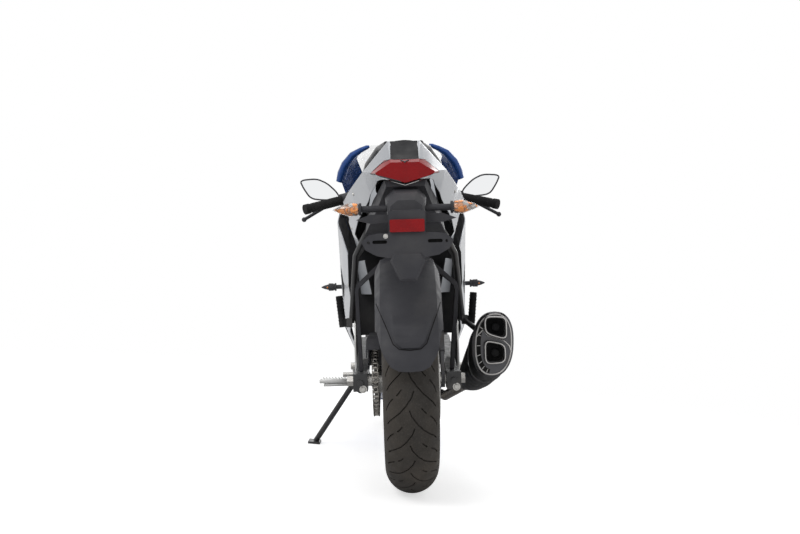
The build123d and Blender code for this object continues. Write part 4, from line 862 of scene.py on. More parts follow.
# ---- wheels ---------------------------------------------------------------------------------------
# circles of bolts: X of their seat, way out, radius of the circle, count
BOLT_CIRCLES = {
    "rear": ((78.3, 1, 30, 6), (-93.0, -1, 56, 5)),
    "front": ((63.3, 1, 30, 6),),
}
# radius and thickness
WASHER = (6.2, 1.2)
BOLT_HEAD = (4.6, 5.0)
# a valve's stem and cap: height of its foot along the stem, length, radius at the foot and at the top
VALVE_X = 8.0
VALVE = ((0, 20, 3.6, 3.6), (18, 11, 4.4, 3.6))


class BIKE_OT_wheel_fittings(BikeTool, bpy.types.Operator):
    """Disc bolts, sprocket bolts and valve stems"""

    bl_idname = "bike.wheel_fittings"
    bl_label = "Wheel fittings"

    def execute(self, context):
        for name, (axle, *_, body) in WHEELS.items():
            bm = bmesh.new()
            for x, out, circle_r, count in BOLT_CIRCLES[name]:
                for k in range(count):
                    a = 2 * pi * (k + 0.5) / count
                    at = axle + Vector((x, circle_r * cos(a), circle_r * sin(a)))
                    place = frame_at(at, X * out)
                    disc(bm, place, *WASHER, 20)
                    disc(bm, place, *BOLT_HEAD, 6)
            soften(bm, 0.4, 1, 40)
            piece(name + "_wheel_bolts", bm, "steel", body)
            bm = bmesh.new()
            inward = frame_at(axle + Vector((VALVE_X, 0, -(BEAD_R - RIM_DEPTH))), Z)
            for height, length, foot, top in VALVE:
                disc(bm, inward @ Matrix.Translation((0, 0, height)), foot, length, 12, top)
            piece(name + "_valve_stem", bm, "rubber", body)
        return {"FINISHED"}


# ---- chain ----------------------------------------------------------------------------------------
CHAIN_X = -90.0
CHAIN_PITCH = 12.7
REAR_TEETH = 45
FRONT_TEETH = 15
FRONT_SPROCKET = Vector((0, 578.0, 362.0))
# radius, half length and sides
PIN = (2.3, 8.6, 8)
ROLLER = (4.1, 4.4, 10)
# radius at a plate's ends, its thickness, and how far the inner and outer plates lie from the middle
PLATE_R = 5.6
PLATE_T = 1.5
PLATE_X = (6.8, 5.0)
# rollers nearer than this to the rear axle have a waist for the turning teeth: half its length, its radius,
# and how far out it sits
TEETH_REACH = 102.0
WAIST = 3.4
WAIST_R = 2.6
WAIST_RISE = 1.5


def spoke(a):
    """The way out from an axle, in the side view."""
    return Vector((0, cos(a), sin(a)))


def tangent(a):
    """The way along a circle at that spoke, clockwise."""
    return Vector((0, sin(a), -cos(a)))


def link_plate(reach):
    """A side plate that holds two pins, lying on the XY plane."""
    plate = bmesh.new()
    for end in (0, reach):
        disc(plate, Matrix.Translation((0, end, 0)), PLATE_R, PLATE_T, 12)
    hull = bmesh.ops.convex_hull(plate, input=plate.verts[:])
    spare = hull["geom_interior"] + hull["geom_unused"]
    loose = {part for part in spare if isinstance(part, bmesh.types.BMVert)}
    bmesh.ops.delete(plate, geom=list(loose), context="VERTS")
    return plate


def join_in(bm, other):
    """Moves one bmesh's faces into another."""
    mesh = bpy.data.meshes.new("joined")
    other.to_mesh(mesh)
    other.free()
    bm.from_mesh(mesh)
    bpy.data.meshes.remove(mesh)


def chain_pins():
    """The chain's pins, evenly spaced along its pitch line round both sprockets."""
    rear = CHAIN_PITCH / (2 * sin(pi / REAR_TEETH))
    front = CHAIN_PITCH / (2 * sin(pi / FRONT_TEETH))
    span = FRONT_SPROCKET - REAR_AXLE
    tilt = atan2(span.z, span.y)
    lean_in = asin((rear - front) / span.length)
    run = span.length * cos(lean_in)
    top, low = tilt + pi / 2 - lean_in, tilt - pi / 2 + lean_in
    wraps = ((pi - 2 * lean_in) * front, (pi + 2 * lean_in) * rear)
    total = 2 * run + sum(wraps)
    count = 2 * round(total / CHAIN_PITCH / 2)
    pins = []
    for k in range(count):
        s = total * k / count
        if s < run:
            pins.append(REAR_AXLE + spoke(top) * rear + tangent(top) * s)
        elif s < run + wraps[0]:
            pins.append(FRONT_SPROCKET + spoke(top - (s - run) / front) * front)
        elif s < 2 * run + wraps[0]:
            pins.append(FRONT_SPROCKET + spoke(low) * front + tangent(low) * (s - run - wraps[0]))
        else:
            pins.append(REAR_AXLE + spoke(low - (s - 2 * run - wraps[0]) / rear) * rear)
    return [pin + X * CHAIN_X for pin in pins]


class BIKE_OT_chain(BikeTool, bpy.types.Operator):
    """Roller chain with separate plates, rollers and pins"""

    bl_idname = "bike.chain"
    bl_label = "Chain"

    def execute(self, context):
        pins = chain_pins()
        bm = bmesh.new()
        for k, pin in enumerate(pins):
            after = pins[(k + 1) % len(pins)]
            place = frame_at(pin, X, (after - pin).normalized())
            out = pin - X * CHAIN_X - REAR_AXLE
            meshed = out.length < TEETH_REACH
            for radius, half, sides in (PIN, ROLLER):
                for low, top in ((-half, -WAIST), (WAIST, half)) if meshed else ((-half, half),):
                    disc(bm, place @ Matrix.Translation((0, 0, low)), radius, top - low, sides)
            if meshed:
                shift = Matrix.Translation(out.normalized() * WAIST_RISE)
                disc(bm, shift @ place @ Matrix.Translation((0, 0, -WAIST)), WAIST_R, 2 * WAIST, 10)
            for side in (-1, 1):
                plate = link_plate((after - pin).length)
                shift = side * PLATE_X[k % 2] - (PLATE_T if side < 0 else 0)
                seat = place @ Matrix.Translation((0, 0, shift))
                bmesh.ops.transform(plate, matrix=seat, verts=plate.verts[:])
                join_in(bm, plate)
        piece("roller_chain", bm, "chain_steel", "chassis", stands_for=("chain",))
        return {"FINISHED"}


# ---- mouldings and castings -------------------------------------------------------------------------
MOULDINGS = (
    "rear_fender",
    "rear_hugger",
    "chain_guard",
    "front_fender",
    "headlamp_housing",
    "instrument_panel",
    "indicator_bodies",
    "sprocket_cover",
)
CASTINGS = (
    "swingarm",
    "engine",
    "fork_yokes",
    "fork_sliders",
    "front_caliper",
    "rear_caliper",
    "footrest_plates",
    "pillion_hangers",
    "side_stand",
    "stand_bracket",
    "radiator",
)


def eased(node, width, finish=None):
    """A copy of a frame piece with its hard edges rounded."""
    slot = slot_of(node)
    bm = node_bmesh(node)
    made = piece(node + "_eased", bm, finish or slot, body_of(node), slot, (node,), upright=False)
    round_edges(made, width, 28)


# painted covers: node, height above which inner faces are painted too, least that a painted face looks out
SHELLS = (
    ("tail_panels", 2000, -0.25),
    ("side_fairings", 2000, -0.25),
    ("upper_cowl", 905, -0.25),
    ("belly_pan", 2000, -0.25),
    ("fuel_tank", 0, -1),
    # the side covers turn black on every face that looks out too little, not only inside: painted shade on
    # faces of the silver cover that look back or up
    ("side_covers", 2000, 0.45),
)


def painted_shell(node, painted_above, least_out, width):
    """A painted cover with rounded edges, black inside and on faces that look out too little."""
    bm = node_bmesh(node)
    tree = BVHTree.FromBMesh(bm)
    back = STANCE.inverted()
    for face in bm.faces:
        centre = face.calc_center_median()
        met, normal = tree.ray_cast(centre + face.normal * MM, face.normal)[:2]
        upright = back @ centre
        outward = (back.to_3x3() @ face.normal).normalized().x * (1 if upright.x > 0 else -1)
        faced = met and normal.dot(face.normal) < -0.1
        if (faced or outward < least_out) and upright.z < painted_above:
            face.material_index = 1
    slot, body = slot_of(node), body_of(node)
    made = piece(node + "_shell", bm, slot, body, slot, (node,), 42, upright=False, second="inner_black")
    round_edges(made, width, 35)


class BIKE_OT_shells(BikeTool, bpy.types.Operator):
    """Painted covers with rounded edges and black insides"""

    bl_idname = "bike.shells"
    bl_label = "Painted covers"

    def execute(self, context):
        for row in SHELLS:
            painted_shell(*row, self.sizes.moulding_edge)
        return {"FINISHED"}


class BIKE_OT_mouldings(BikeTool, bpy.types.Operator):
    """Plastic mouldings and metal castings with rounded edges"""

    bl_idname = "bike.mouldings"
    bl_label = "Mouldings and castings"

    def execute(self, context):
        for node in MOULDINGS:
            eased(node, self.sizes.moulding_edge)
        eased("tail_cover", self.sizes.moulding_edge, "inner_black")
        for node in CASTINGS:
            eased(node, self.sizes.casting_edge)
        return {"FINISHED"}


# ---- seats ------------------------------------------------------------------------------------------
# size of the cubes that a pad is rebuilt from, in metres, and rounds of smoothing
PAD_VOXEL = 0.005
PAD_SMOOTHING = 4


class BIKE_OT_seats(BikeTool, bpy.types.Operator):
    """Padded seats with a smooth, crowned cover"""

    bl_idname = "bike.seats"
    bl_label = "Seats"

    def execute(self, context):
        for node in ("rider_seat", "pillion_seat"):
            rough = scratch_object("pad_form", node_bmesh(node))
            remesh = rough.modifiers.new("even", "REMESH")
            remesh.mode = "VOXEL"
            remesh.voxel_size = PAD_VOXEL
            bm = shaped(rough)
            for _ in range(PAD_SMOOTHING):
                bmesh.ops.smooth_vert(
                    bm, verts=bm.verts[:], factor=0.5, use_axis_x=True, use_axis_y=True, use_axis_z=True
                )
            seat = (node + "_pad", bm, "seat_vinyl", body_of(node))
            made = piece(*seat, stands_for=(node,), upright=False, sharp=70)
            made.modifiers.new("round", "SUBSURF").levels = 1
            made.modifiers["round"].render_levels = 1
        return {"FINISHED"}


# ---- lamps ------------------------------------------------------------------------------------------
# right half of the tail lamp from behind, from the top down: X and Z
LAMP_HALF = ((0, 855), (49, 855), (83, 825), (60, 814), (0, 797))
LAMP_NOTCH = ((-9, 851), (0, 846), (9, 851))
LAMP_LOW = ((-56, 811), (0, 794), (56, 811))
# the indicators' lenses: inner end, tip, y, z, share of the full radius
INDICATORS = ((108, 176, -310, 738, 1.0), (256, 312, 1120, 556, 0.78))
# distance from the inner end, or back from the tip, and radius
LENS_STEPS = ((3, 8.5), (5, 13.5), (12, 16.8), (28, 17.4), (-30, 13.5), (-14, 8.5), (-4, 3.4), (0, 0.8))
BOWL_STEPS = ((4, 11), (10, 14.8), (27, 15.6), (-30, 11.8), (-14, 6.6), (-5, 1.6))
# bulbs: distance from the lens's inner end, height; how far back they sit and their radius
BULBS = ((17, 1), (33, -1))
BULB_BACK = 12.5
BULB_R = 4.2
# the hood over the front ones' back half: how far it stands off, where it ends, its thickness
HOOD_LIFT = 0.9
HOOD_REACH = 3.0
HOOD_T = 1.2


def turned(bm, outline, at, sides=28):
    """A round body about a line along X: distances along it from a point, and radii."""
    verts = [bm.verts.new((x, at.y, at.z + r)) for x, r in outline]
    edges = [bm.edges.new(pair) for pair in zip(verts, verts[1:])]
    spin_round(bm, verts + edges, (0, at.y, at.z), X, sides)
    bmesh.ops.holes_fill(bm, edges=bm.edges[:], sides=sides + 1)


def tail_lamp_trims():
    """The lamp's dark frame with its notch, and the bright strip under it."""
    tail = surface("tail_lamp", "tail_panels", "tail_cover", "rear_fender")
    outline = LAMP_HALF + tuple((-x, z) for x, z in reversed(LAMP_HALF[:-1]))
    bm = bmesh.new()
    tube(bm, laid(tail, from_behind(outline), Y, -0.4), 1.5, 8)
    tube(bm, laid(tail, from_behind(LAMP_NOTCH), Y, 0.2, 6), 2.0, 8)
    piece("tail_lamp_frame", bm, "black_plastic", "chassis")
    bm = bmesh.new()
    tube(bm, [point - Z * 1.6 for point in laid(tail, from_behind(LAMP_LOW), Y, 0.2)], 0.9, 6)
    piece("tail_lamp_trim", bm, "chrome_trim", "chassis")


def indicators():
    """Clear lenses over faceted bowls and bulbs; the front ones have a hood over their back half."""
    bulbs, bowls, lenses, hoods = (bmesh.new() for _ in range(4))
    for inner, tip, y, z, share in INDICATORS:
        rounds = ((lenses, LENS_STEPS, 0), (bowls, BOWL_STEPS, 0), (hoods, LENS_STEPS, HOOD_LIFT))
        for bm, steps, lift in rounds:
            outline = [((inner if step > 0 else tip) + step, r * share + lift) for step, r in steps]
            turned(bm, outline, Vector((0, y, z)))
        for along, height in BULBS:
            place = Matrix.Translation((inner + along, y - BULB_BACK * share, z + height))
            bmesh.ops.create_icosphere(bulbs, subdivisions=2, radius=BULB_R * share, matrix=place)
    bmesh.ops.delete(hoods, geom=[v for v in hoods.verts if v.co.y < 0], context="VERTS")
    whole = hoods.verts[:] + hoods.edges[:] + hoods.faces[:]
    end = (0, INDICATORS[1][2] + HOOD_REACH, 0)
    bmesh.ops.bisect_plane(hoods, geom=whole, plane_co=end, plane_no=Y, clear_outer=True)
    bmesh.ops.solidify(hoods, geom=hoods.faces[:], thickness=-HOOD_T)
    for bm, name, finish, slot in (
        (lenses, "indicator_glass", "clear_lens", "clear_lens"),
        (bowls, "indicator_bowls", "facets", "clear_lens"),
        (bulbs, "indicator_bulbs", "amber", "clear_lens"),
        (hoods, "indicator_hoods", "black_plastic", "black_plastic"),
    ):
        mirror_across(bm)
        piece(name, bm, finish, "chassis", slot, ("indicator_lenses",) if finish == "clear_lens" else ())


class BIKE_OT_lamps(BikeTool, bpy.types.Operator):
    """Tail lamp's frame and trim, and indicators with bowls and bulbs"""

    bl_idname = "bike.lamps"
    bl_label = "Lamps"

    def execute(self, context):
        tail_lamp_trims()
        indicators()
        return {"FINISHED"}


# ---- exhaust ----------------------------------------------------------------------------------------
# canister: y, then centre X and Z, half width and half height
CANISTER = (
    (352, (176, 262, 18, 20)),
    (330, (179, 265, 30, 33)),
    (250, (196, 290, 45, 52)),
    (160, (205, 320, 50, 66)),
    (60, (212, 352, 52, 76)),
    (-40, (215, 378, 51, 80)),
    (-104, (217, 395, 49, 80)),
)
CAP = (217, 395, 50, 81)
CAP_FACE = -128.0
# y, how far the cap's outline grows there
CAP_STEPS = ((-84, 0), (-100, 3), (-121, 3), (CAP_FACE, -3))
LIP = CAP_FACE - 14.0
# outlets: centre X and Z, half width and half height, slope of the top and of the bottom
OUTLETS = ((223, 441, 24.5, 22.5, 0.05, 0.32), (220, 374, 23, 24, 0.22, -0.05))
# collar round an outlet: distance behind the lip, and growth of the outline
COLLAR = ((17, 6), (3, 5), (0, 2.5), (3, 0), (18, -1))
# the ridge between the outlets: X and Z
BROW = ((174, 416), (191, 433), (203, 419), (243, 405), (258, 390), (262, 374))
# the louvres' crescent: its first angle, step and count; growth of its outer and inner edge
LOUVRE_TURNS = [radians(118 + 9 * k) for k in range(17)]
LOUVRE_EDGES = (-7, -17)
# the tubes deep in the outlets: shift from the outlet's centre, length, radius
INNER_TUBE = (3, 56, -2)
INNER_TUBE_LENGTH = 26
INNER_TUBE_R = 10
# the hanger's bar: places and radii; its band round the canister: oval, growth, y
HANGER = (((160, 150, 452), 8), ((172, 112, 442), 7), ((194, 64, 424), 9))
BAND = (213.6, 366, 51.6, 78.2)
BAND_STEPS = ((2, 1.6), (20, 1.6), (20, -1), (2, -1))


def grown(row, by):
    """An oval's centre and half sizes, grown all round."""
    return (row[0], row[1], row[2] + by, row[3] + by)


def outlet(row, y, by):
    """An outlet's four-sided rounded outline, grown all round."""
    made = []
    for point in oval(y, grown(row[:4], by), 32, square=0.5, lean=0):
        slope = row[4] if point.z > row[1] else row[5]
        made.append(point - Z * slope * (point.x - row[0]))
    return made


def cap_and_canister():
    """The silencer's black can and its dark cap, near-black inside the outlets' bores: soot, with painted
    shade.
    """
    bm = bmesh.new()
    skin(bm, [oval(y, row) for y, row in CANISTER])
    piece("muffler_canister", bm, "exhaust_black", "chassis", None, ("muffler",), 50)
    cap, cutter = bmesh.new(), bmesh.new()
    skin(cap, [oval(y, grown(CAP, by), 48) for y, by in CAP_STEPS])
    bmesh.ops.recalc_face_normals(cap, faces=cap.faces[:])
    cap_back = CAP_STEPS[0][0]
    for row in OUTLETS:
        skin(cutter, [outlet(row, y, -1.2) for y in (LIP - 8, cap_back - 2)])
    bmesh.ops.recalc_face_normals(cutter, faces=cutter.faces[:])
    cap = cut(cap, cutter)
    # faces inside the outlets' bores take the near-black: soot, with painted shade deep in the bores
    for face in cap.faces:
        at = face.calc_center_median()
        held = any(abs(at.x - row[0]) < row[2] + 1 and abs(at.z - row[1]) < row[3] + 9 for row in OUTLETS)
        if held and CAP_FACE + 0.5 < at.y < cap_back - 0.5:
            face.material_index = 1
    stands_for = ("muffler_end_cap",)
    piece("muffler_cap", cap, "cap_metal", "chassis", "chrome_trim", stands_for, 35, second="soot")


def louvres(rims):
    """The near-black crescent beside the outlets, painted shade in the louvres' slots; its pale bars go in
    with the rims.
    """
    rows = []
    outer, inner = (grown(CAP, by) for by in LOUVRE_EDGES)
    for y in (CAP_FACE + 1, CAP_FACE - 0.8):
        row = [oval_point(a, y, outer) for a in LOUVRE_TURNS]
        rows.append(row + [oval_point(a, y, inner) for a in reversed(LOUVRE_TURNS)])
    # the crescent is near-black: painted shade in the louvres' slots behind the pale bars
    dark = bmesh.new()
    skin(dark, rows)
    for a in LOUVRE_TURNS[1:-1:2]:
        tube(rims, [oval_point(a, CAP_FACE - 1.4, grown(CAP, by)) for by in (-7, -16)], 1.2, 6)
    return dark


def outlets():
    """Collars, pale rims and inner tubes of both outlets, and the louvres."""
    collars, rims, tubes = (bmesh.new() for _ in range(3))
    for row in OUTLETS:
        skin(collars, [outlet(row, LIP + back, by) for back, by in COLLAR], "round")
        lip = outlet(row, LIP, 2.5)
        tube(rims, lip + lip[:1], 1.9, 8)
        middle = Vector((row[0], LIP, row[1])) + Vector(INNER_TUBE)
        disc(tubes, frame_at(middle, -Y), INNER_TUBE_R, INNER_TUBE_LENGTH, 24)
        ring(tubes, frame_at(middle - Y * INNER_TUBE_LENGTH, -Y), INNER_TUBE_R - 1, 1.4, 24, 6)
    dark = louvres(rims)
    edge = oval(CAP_FACE - 0.4, grown(CAP, -4), 64)
    tube(rims, edge + edge[:1], 1.9, 8)
    tube(rims, [(x, CAP_FACE - 1, z) for x, z in BROW], 1.8, 8)
    piece("outlet_collars", collars, "cap_metal", "chassis", "chrome_trim")
    piece("outlet_rims", rims, "pale_rim", "chassis", "chrome_trim")
    piece("outlet_tubes", tubes, "inner_black", "chassis", "exhaust_black")
    piece("cap_louvres", dark, "soot", "chassis", "exhaust_black")


class BIKE_OT_exhaust(BikeTool, bpy.types.Operator):
    """Silencer with its dark cap, pale rims, louvres and deep outlets"""

    bl_idname = "bike.exhaust"
    bl_label = "Exhaust"

    def execute(self, context):
        cap_and_canister()
        outlets()
        bm = bmesh.new()
        tube(bm, [place for place, _ in HANGER], [radius for _, radius in HANGER], 12)
        skin(bm, [oval(y, grown(BAND, by), 48) for y, by in BAND_STEPS], "round")
        piece("silencer_bracket", bm, "dark_metal", "chassis")
        return {"FINISHED"}


# ---- panels that close the view under the seat ----------------------------------------------------------
# inner mudguard: z, half width, y of its middle; columns of points, how far its sides wrap back, ribs, sheet
GUARD = ((407, 146, 350), (470, 160, 352), (560, 172, 356), (650, 172, 366), (735, 148, 384), (780, 110, 394))
GUARD_COLUMNS = 17
GUARD_WRAP = 36.0
GUARD_RIB = 3.5
GUARD_T = 3.0
# the plate carrier's slots: X and Z of their middles, size of the near-black block behind each, painted shade
# seen through the slot
SLOT_X = 64.0
SLOT_Z = 654.0
SLOT_BACK = (44, 8, 14)


class BIKE_OT_inner_panels(BikeTool, bpy.types.Operator):
    """Ribbed mudguard ahead of the rear wheel, and near-black blocks behind the plate carrier's slots as
    painted shade
    """

    bl_idname = "bike.inner_panels"
    bl_label = "Inner panels"

    def execute(self, context):
        bm = bmesh.new()
        rows = []
        for z, half, y in GUARD:
            row = []
            for k in range(GUARD_COLUMNS):
                t = 2 * k / (GUARD_COLUMNS - 1) - 1
                rib = GUARD_RIB if k % 4 in (1, 2) else 0
                row.append(bm.verts.new((half * t, y - GUARD_WRAP * t**2 + rib, z)))
            rows.append(row)
        for low, top in zip(rows, rows[1:]):
            for k in range(GUARD_COLUMNS - 1):
                bm.faces.new((low[k], low[k + 1], top[k + 1], top[k]))
        bmesh.ops.solidify(bm, geom=bm.faces[:], thickness=GUARD_T)
        piece("inner_mudguard", bm, "inner_black", "chassis", "black_plastic", sharp=20)
        carrier_y = surface("rear_fender").ray_cast(Vector((0, BEHIND_Y, SLOT_Z + 1)), Y)[0].y
        bm = bmesh.new()
        # near-black blocks behind the slots: painted shade seen through them
        for side in (-1, 1):
            block(bm, Matrix.Translation((side * SLOT_X, carrier_y + 10, SLOT_Z)), SLOT_BACK)
        soften(bm, 1.5)
        piece("carrier_slot_shade", bm, "soot", "chassis", "black_plastic")
        return {"FINISHED"}


# ---- mirrors ----------------------------------------------------------------------------------------
# outline from behind: x, z
MIRROR = (
    (238, 908),
    (247, 896),
    (335, 901),
    (358, 912),
    (381, 948),
    (395, 979),
    (328, 984),
    (287, 965),
    (252, 932),
)
MIRROR_Y = 1226.0
# shares of the outline for the lip and the glass; the lip's radius and how far back it and the glass stand
MIRROR_LIP = 0.985
MIRROR_LIP_R = 3.2
MIRROR_LIP_BACK = 1.5
MIRROR_GLASS = 0.965
MIRROR_GLASS_T = 2.4
# housing: distance ahead of the glass, share of the outline
MIRROR_STEPS = ((-1, 0.97), (-2, 0.99), (0, 1.0), (12, 1.0), (22, 0.93), (30, 0.76), (34, 0.5), (35.5, 0.2))

# arm: X, distance ahead of the glass, Z, radius
MIRROR_ARM = ((268, 20, 917, 10), (240, 22, 902, 9), (218, 18, 888, 10), (200, 14, 880, 14))

# painted trim beside the screen: place and radius; how far it is stretched fore and aft
HORN_STRETCH = 1.5
HORN = (
    ((232, 1142, 960), 15),
    ((222, 1132, 990), 18),
    ((206, 1118, 1022), 17),
    ((178, 1106, 1054), 14),
    ((146, 1097, 1071), 10),
    ((122, 1091, 1080), 8),
    ((112, 1089, 1083), 4),
)


class BIKE_OT_mirrors(BikeTool, bpy.types.Operator):
    """Mirrors with domed housings, arms and glass, and the painted trim beside the screen"""

    bl_idname = "bike.mirrors"
    bl_label = "Mirrors"

    def execute(self, context):
        outline = corners_cut([Vector((x, MIRROR_Y, z)) for x, z in MIRROR])
        middle = sum(outline, Vector()) / len(outline)
        housing, glass = bmesh.new(), bmesh.new()
        skin(housing, [[middle.lerp(p, share) + Y * ahead for p in outline] for ahead, share in MIRROR_STEPS])
        lip = [middle.lerp(p, MIRROR_LIP) - Y * MIRROR_LIP_BACK for p in outline]
        tube(housing, lip + lip[:1], MIRROR_LIP_R, 10)
        arm = [(x, MIRROR_Y + ahead, z) for x, ahead, z, _ in MIRROR_ARM]
        tube(housing, arm, [radius for *_, radius in MIRROR_ARM], 14)
        face = [middle.lerp(p, MIRROR_GLASS) for p in outline]
        skin(glass, [face, [point - Y * MIRROR_GLASS_T for point in face]])
        for bm in (housing, glass):
            mirror_across(bm)
        piece("mirror_housings", housing, "black_plastic", "chassis", None, ("mirrors",), 40)
        piece("mirror_faces", glass, "mirror_glass", "chassis", None, ("mirror_glass",))
        bm = bmesh.new()
        tube(bm, [place for place, _ in HORN], [radius for _, radius in HORN], 16)
        foot = Matrix.Translation((0, -HORN[0][0][1], 0))
        bmesh.ops.scale(bm, vec=(1, HORN_STRETCH, 1), space=foot, verts=bm.verts[:])
        mirror_across(bm)
        piece("cowl_horns", bm, "blue_paint", "chassis")
        return {"FINISHED"}


# ---- small fittings ---------------------------------------------------------------------------------
# surface, starting point, way to the surface, radius; each is repeated on the other side
SCREWS = (
    ("tail_panels", (400, -40, 800), (-1, 0, 0), 4.0),
    ("tail_panels", (400, 300, 730), (-1, 0, 0), 4.0),
    ("side_fairings", (400, 1120, 700), (-1, 0, 0), 5.0),
    ("side_fairings", (400, 1130, 600), (-1, 0, 0), 4.0),
    ("side_fairings", (400, 700, 560), (-1, 0, 0), 5.0),
    ("side_fairings", (400, 700, 300), (-1, 0, 0), 5.0),
    ("side_fairings", (400, 940, 290), (-1, 0, 0), 4.0),
    ("upper_cowl", (400, 1210, 870), (-1, 0, 0), 4.0),
    ("windscreen", (-100, 1400, 935), (0, -1, 0), 3.4),
    ("windscreen", (-62, 1400, 906), (0, -1, 0), 3.4),
    ("footrest_plates", (400, 480, 430), (-1, 0, 0), 7.0),
    ("footrest_plates", (400, 505, 265), (-1, 0, 0), 7.0),
    ("swingarm", (123, -400, 283), (0, 1, 0), 8.0),
)
CARRIER_BOLT = (-50, 667)
# rider's footrest: middle and size of its pad and of the bar below; rows and columns of teeth; its boss;
# teeth and boss have a radius, a height, sides and a radius at the top
PEG_AT = (229, 470, 258)
PEG_SIZE = (98, 28, 15)
PEG_BAR_AT = (226, 470, 246)
PEG_BAR_SIZE = (80, 12, 9)
TOOTH_ROWS = (457.5, 466, 474, 482.5)
TOOTH_COLUMNS = [190 + 9.6 * k for k in range(9)]
TOOTH_Z = 264.5
TOOTH = (4.6, 5.5, 4, 1.2)
PEG_BOSS_X = 172
PEG_BOSS = (13, 14, 20, 11)
# ribbed part of a pillion footrest, and of a grip along the bar; a rib's radius, thickness and sides
PILLION_PEG = (Vector((183, 150, 440)), Vector((192, 158, 528)))
PILLION_RIBS = 8
PILLION_RIB = (10.0, 1.3, 18, 6)
BAR_ROOT = FRONT_AXLE + UP_FORK * 676 + X * FORK_X
BAR_END = Vector((345, 899, 838))
GRIP_RIBS = [162 + 6 * k for k in range(19)]
GRIP_RIB = (16.6, 1.2, 20, 5)
# right half of the groove on the hugger, from its foot up: X and Z
HUGGER_HALF = ((0, 398), (26, 401), (40, 413), (52, 444), (71, 489), (80, 509))
# fuel cap: Y; discs by their height above the tank, radius, thickness, sides and radius at the top; the
# flap's middle and size; ring of screws
CAP_Y = 760
CAP_DISCS = ((-2, 54, 5, 48, 52), (2, 40, 6, 48, 36))
CAP_FLAP_AT = (0, -14, 9)
CAP_FLAP = (22, 16, 3)
CAP_SCREWS = 6
CAP_SCREW_R = 46


def screws():
    """Screws that hold the covers, seated on the surfaces."""
    bm = bmesh.new()
    for node, start, way, radius in SCREWS:
        tree = surface(node)
        for side in (-1, 1):
            at = Vector((side * start[0], *start[1:]))
            place, normal = tree.ray_cast(at, Vector((side * way[0], *way[1:])))[:2]
            if place:
                screw(bm, place, normal if normal.dot(at - place) > 0 else -normal, radius)
    piece("screws", bm, "steel", "chassis")


def toothed_pegs():
    """The rider's footrests with rows of teeth."""
    bm = bmesh.new()
    for side in (-1, 1):
        verts = block(bm, Matrix.Translation((side * PEG_AT[0], *PEG_AT[1:])), PEG_SIZE)
        outer = [v for v in verts if v.co.x * side > PEG_AT[0]]
        middle = Matrix.Translation((0, -PEG_AT[1], -PEG_AT[2] - 4))
        bmesh.ops.scale(bm, vec=(1, 1.2, 0.8), space=middle, verts=outer)
        block(bm, Matrix.Translation((side * PEG_BAR_AT[0], *PEG_BAR_AT[1:])), PEG_BAR_SIZE)
    soften(bm, 2.0, 2, 40)
    for side in (-1, 1):
        for y in TOOTH_ROWS:
            for x in TOOTH_COLUMNS:
                place = Matrix.Translation((side * x, y, TOOTH_Z))
                disc(bm, place @ Matrix.Rotation(pi / 4, 4, "Z"), *TOOTH)
        boss = frame_at((side * PEG_BOSS_X, PEG_AT[1], PEG_AT[2] - 2), X * side)
        disc(bm, boss, *PEG_BOSS)
    piece("toothed_pegs", bm, "alloy", "chassis", None, ("rider_pegs",))


def rubber_ribs():
    """Ribs round the pillion's footrests and round the grips."""
    bm = bmesh.new()
    low, top = PILLION_PEG
    for side in (-1, 1):
        turn = Vector((side, 1, 1))
        for k in range(1, PILLION_RIBS + 1):
            at = low.lerp(top, k / (PILLION_RIBS + 1)) * turn
            ring(bm, frame_at(at, (top - low) * turn), *PILLION_RIB)
    piece("pillion_peg_ribs", bm, "rubber", "chassis")
    bm = bmesh.new()
    along = (BAR_END - BAR_ROOT).normalized()
    for distance in GRIP_RIBS:
        ring(bm, frame_at(BAR_ROOT + along * distance, along), *GRIP_RIB)
    mirror_across(bm)
    piece("grip_ribs", bm, "rubber", "steering")


def hugger_groove_shade():
    """A near-black line round the hugger's raised panel, painted shade in its groove."""
    whole = tuple((-x, z) for x, z in reversed(HUGGER_HALF[1:])) + HUGGER_HALF
    bm = bmesh.new()
    # a near-black tube along the groove: painted shade
    tube(bm, laid(surface("rear_hugger"), from_behind(whole), Y, 0.1, 9), 1.1, 6)
    piece("hugger_groove_shade", bm, "soot", "chassis", "black_plastic")


def carrier_bolt():
    """The bright bolt beside the reflector."""
    x, z = CARRIER_BOLT
    place = surface("rear_fender", "rear_reflector").ray_cast(Vector((x, BEHIND_Y, z)), Y)[0]
    bm = bmesh.new()
    screw(bm, place, -Y, 4.4, 3)
    piece("carrier_bolt", bm, "steel", "chassis")


def fuel_cap():
    """The filler cap on the tank, with its ring of screws."""
    place, normal = surface("fuel_tank").ray_cast(Vector((0, CAP_Y, 1200)), -Z)[:2]
    seat = frame_at(place, normal)
    bm = bmesh.new()
    for height, *form in CAP_DISCS:
        disc(bm, seat @ Matrix.Translation((0, 0, height)), *form)
    block(bm, seat @ Matrix.Translation(CAP_FLAP_AT), CAP_FLAP)
    for k in range(CAP_SCREWS):
        a = 2 * pi / CAP_SCREWS * (k + 0.5)
        screw(bm, seat @ Vector((CAP_SCREW_R * cos(a), CAP_SCREW_R * sin(a), 3)), normal, 2.8, 1.6)
    soften(bm, 0.6, 2, 40)
    piece("fuel_cap", bm, "alloy", "chassis")


class BIKE_OT_fittings(BikeTool, bpy.types.Operator):
    """Screws, toothed footrests, rubber ribs, the hugger's groove and the fuel cap"""

    bl_idname = "bike.fittings"
    bl_label = "Small fittings"

    def execute(self, context):
        for make in (screws, toothed_pegs, rubber_ribs, hugger_groove_shade, carrier_bolt, fuel_cap):
            make()
        return {"FINISHED"}


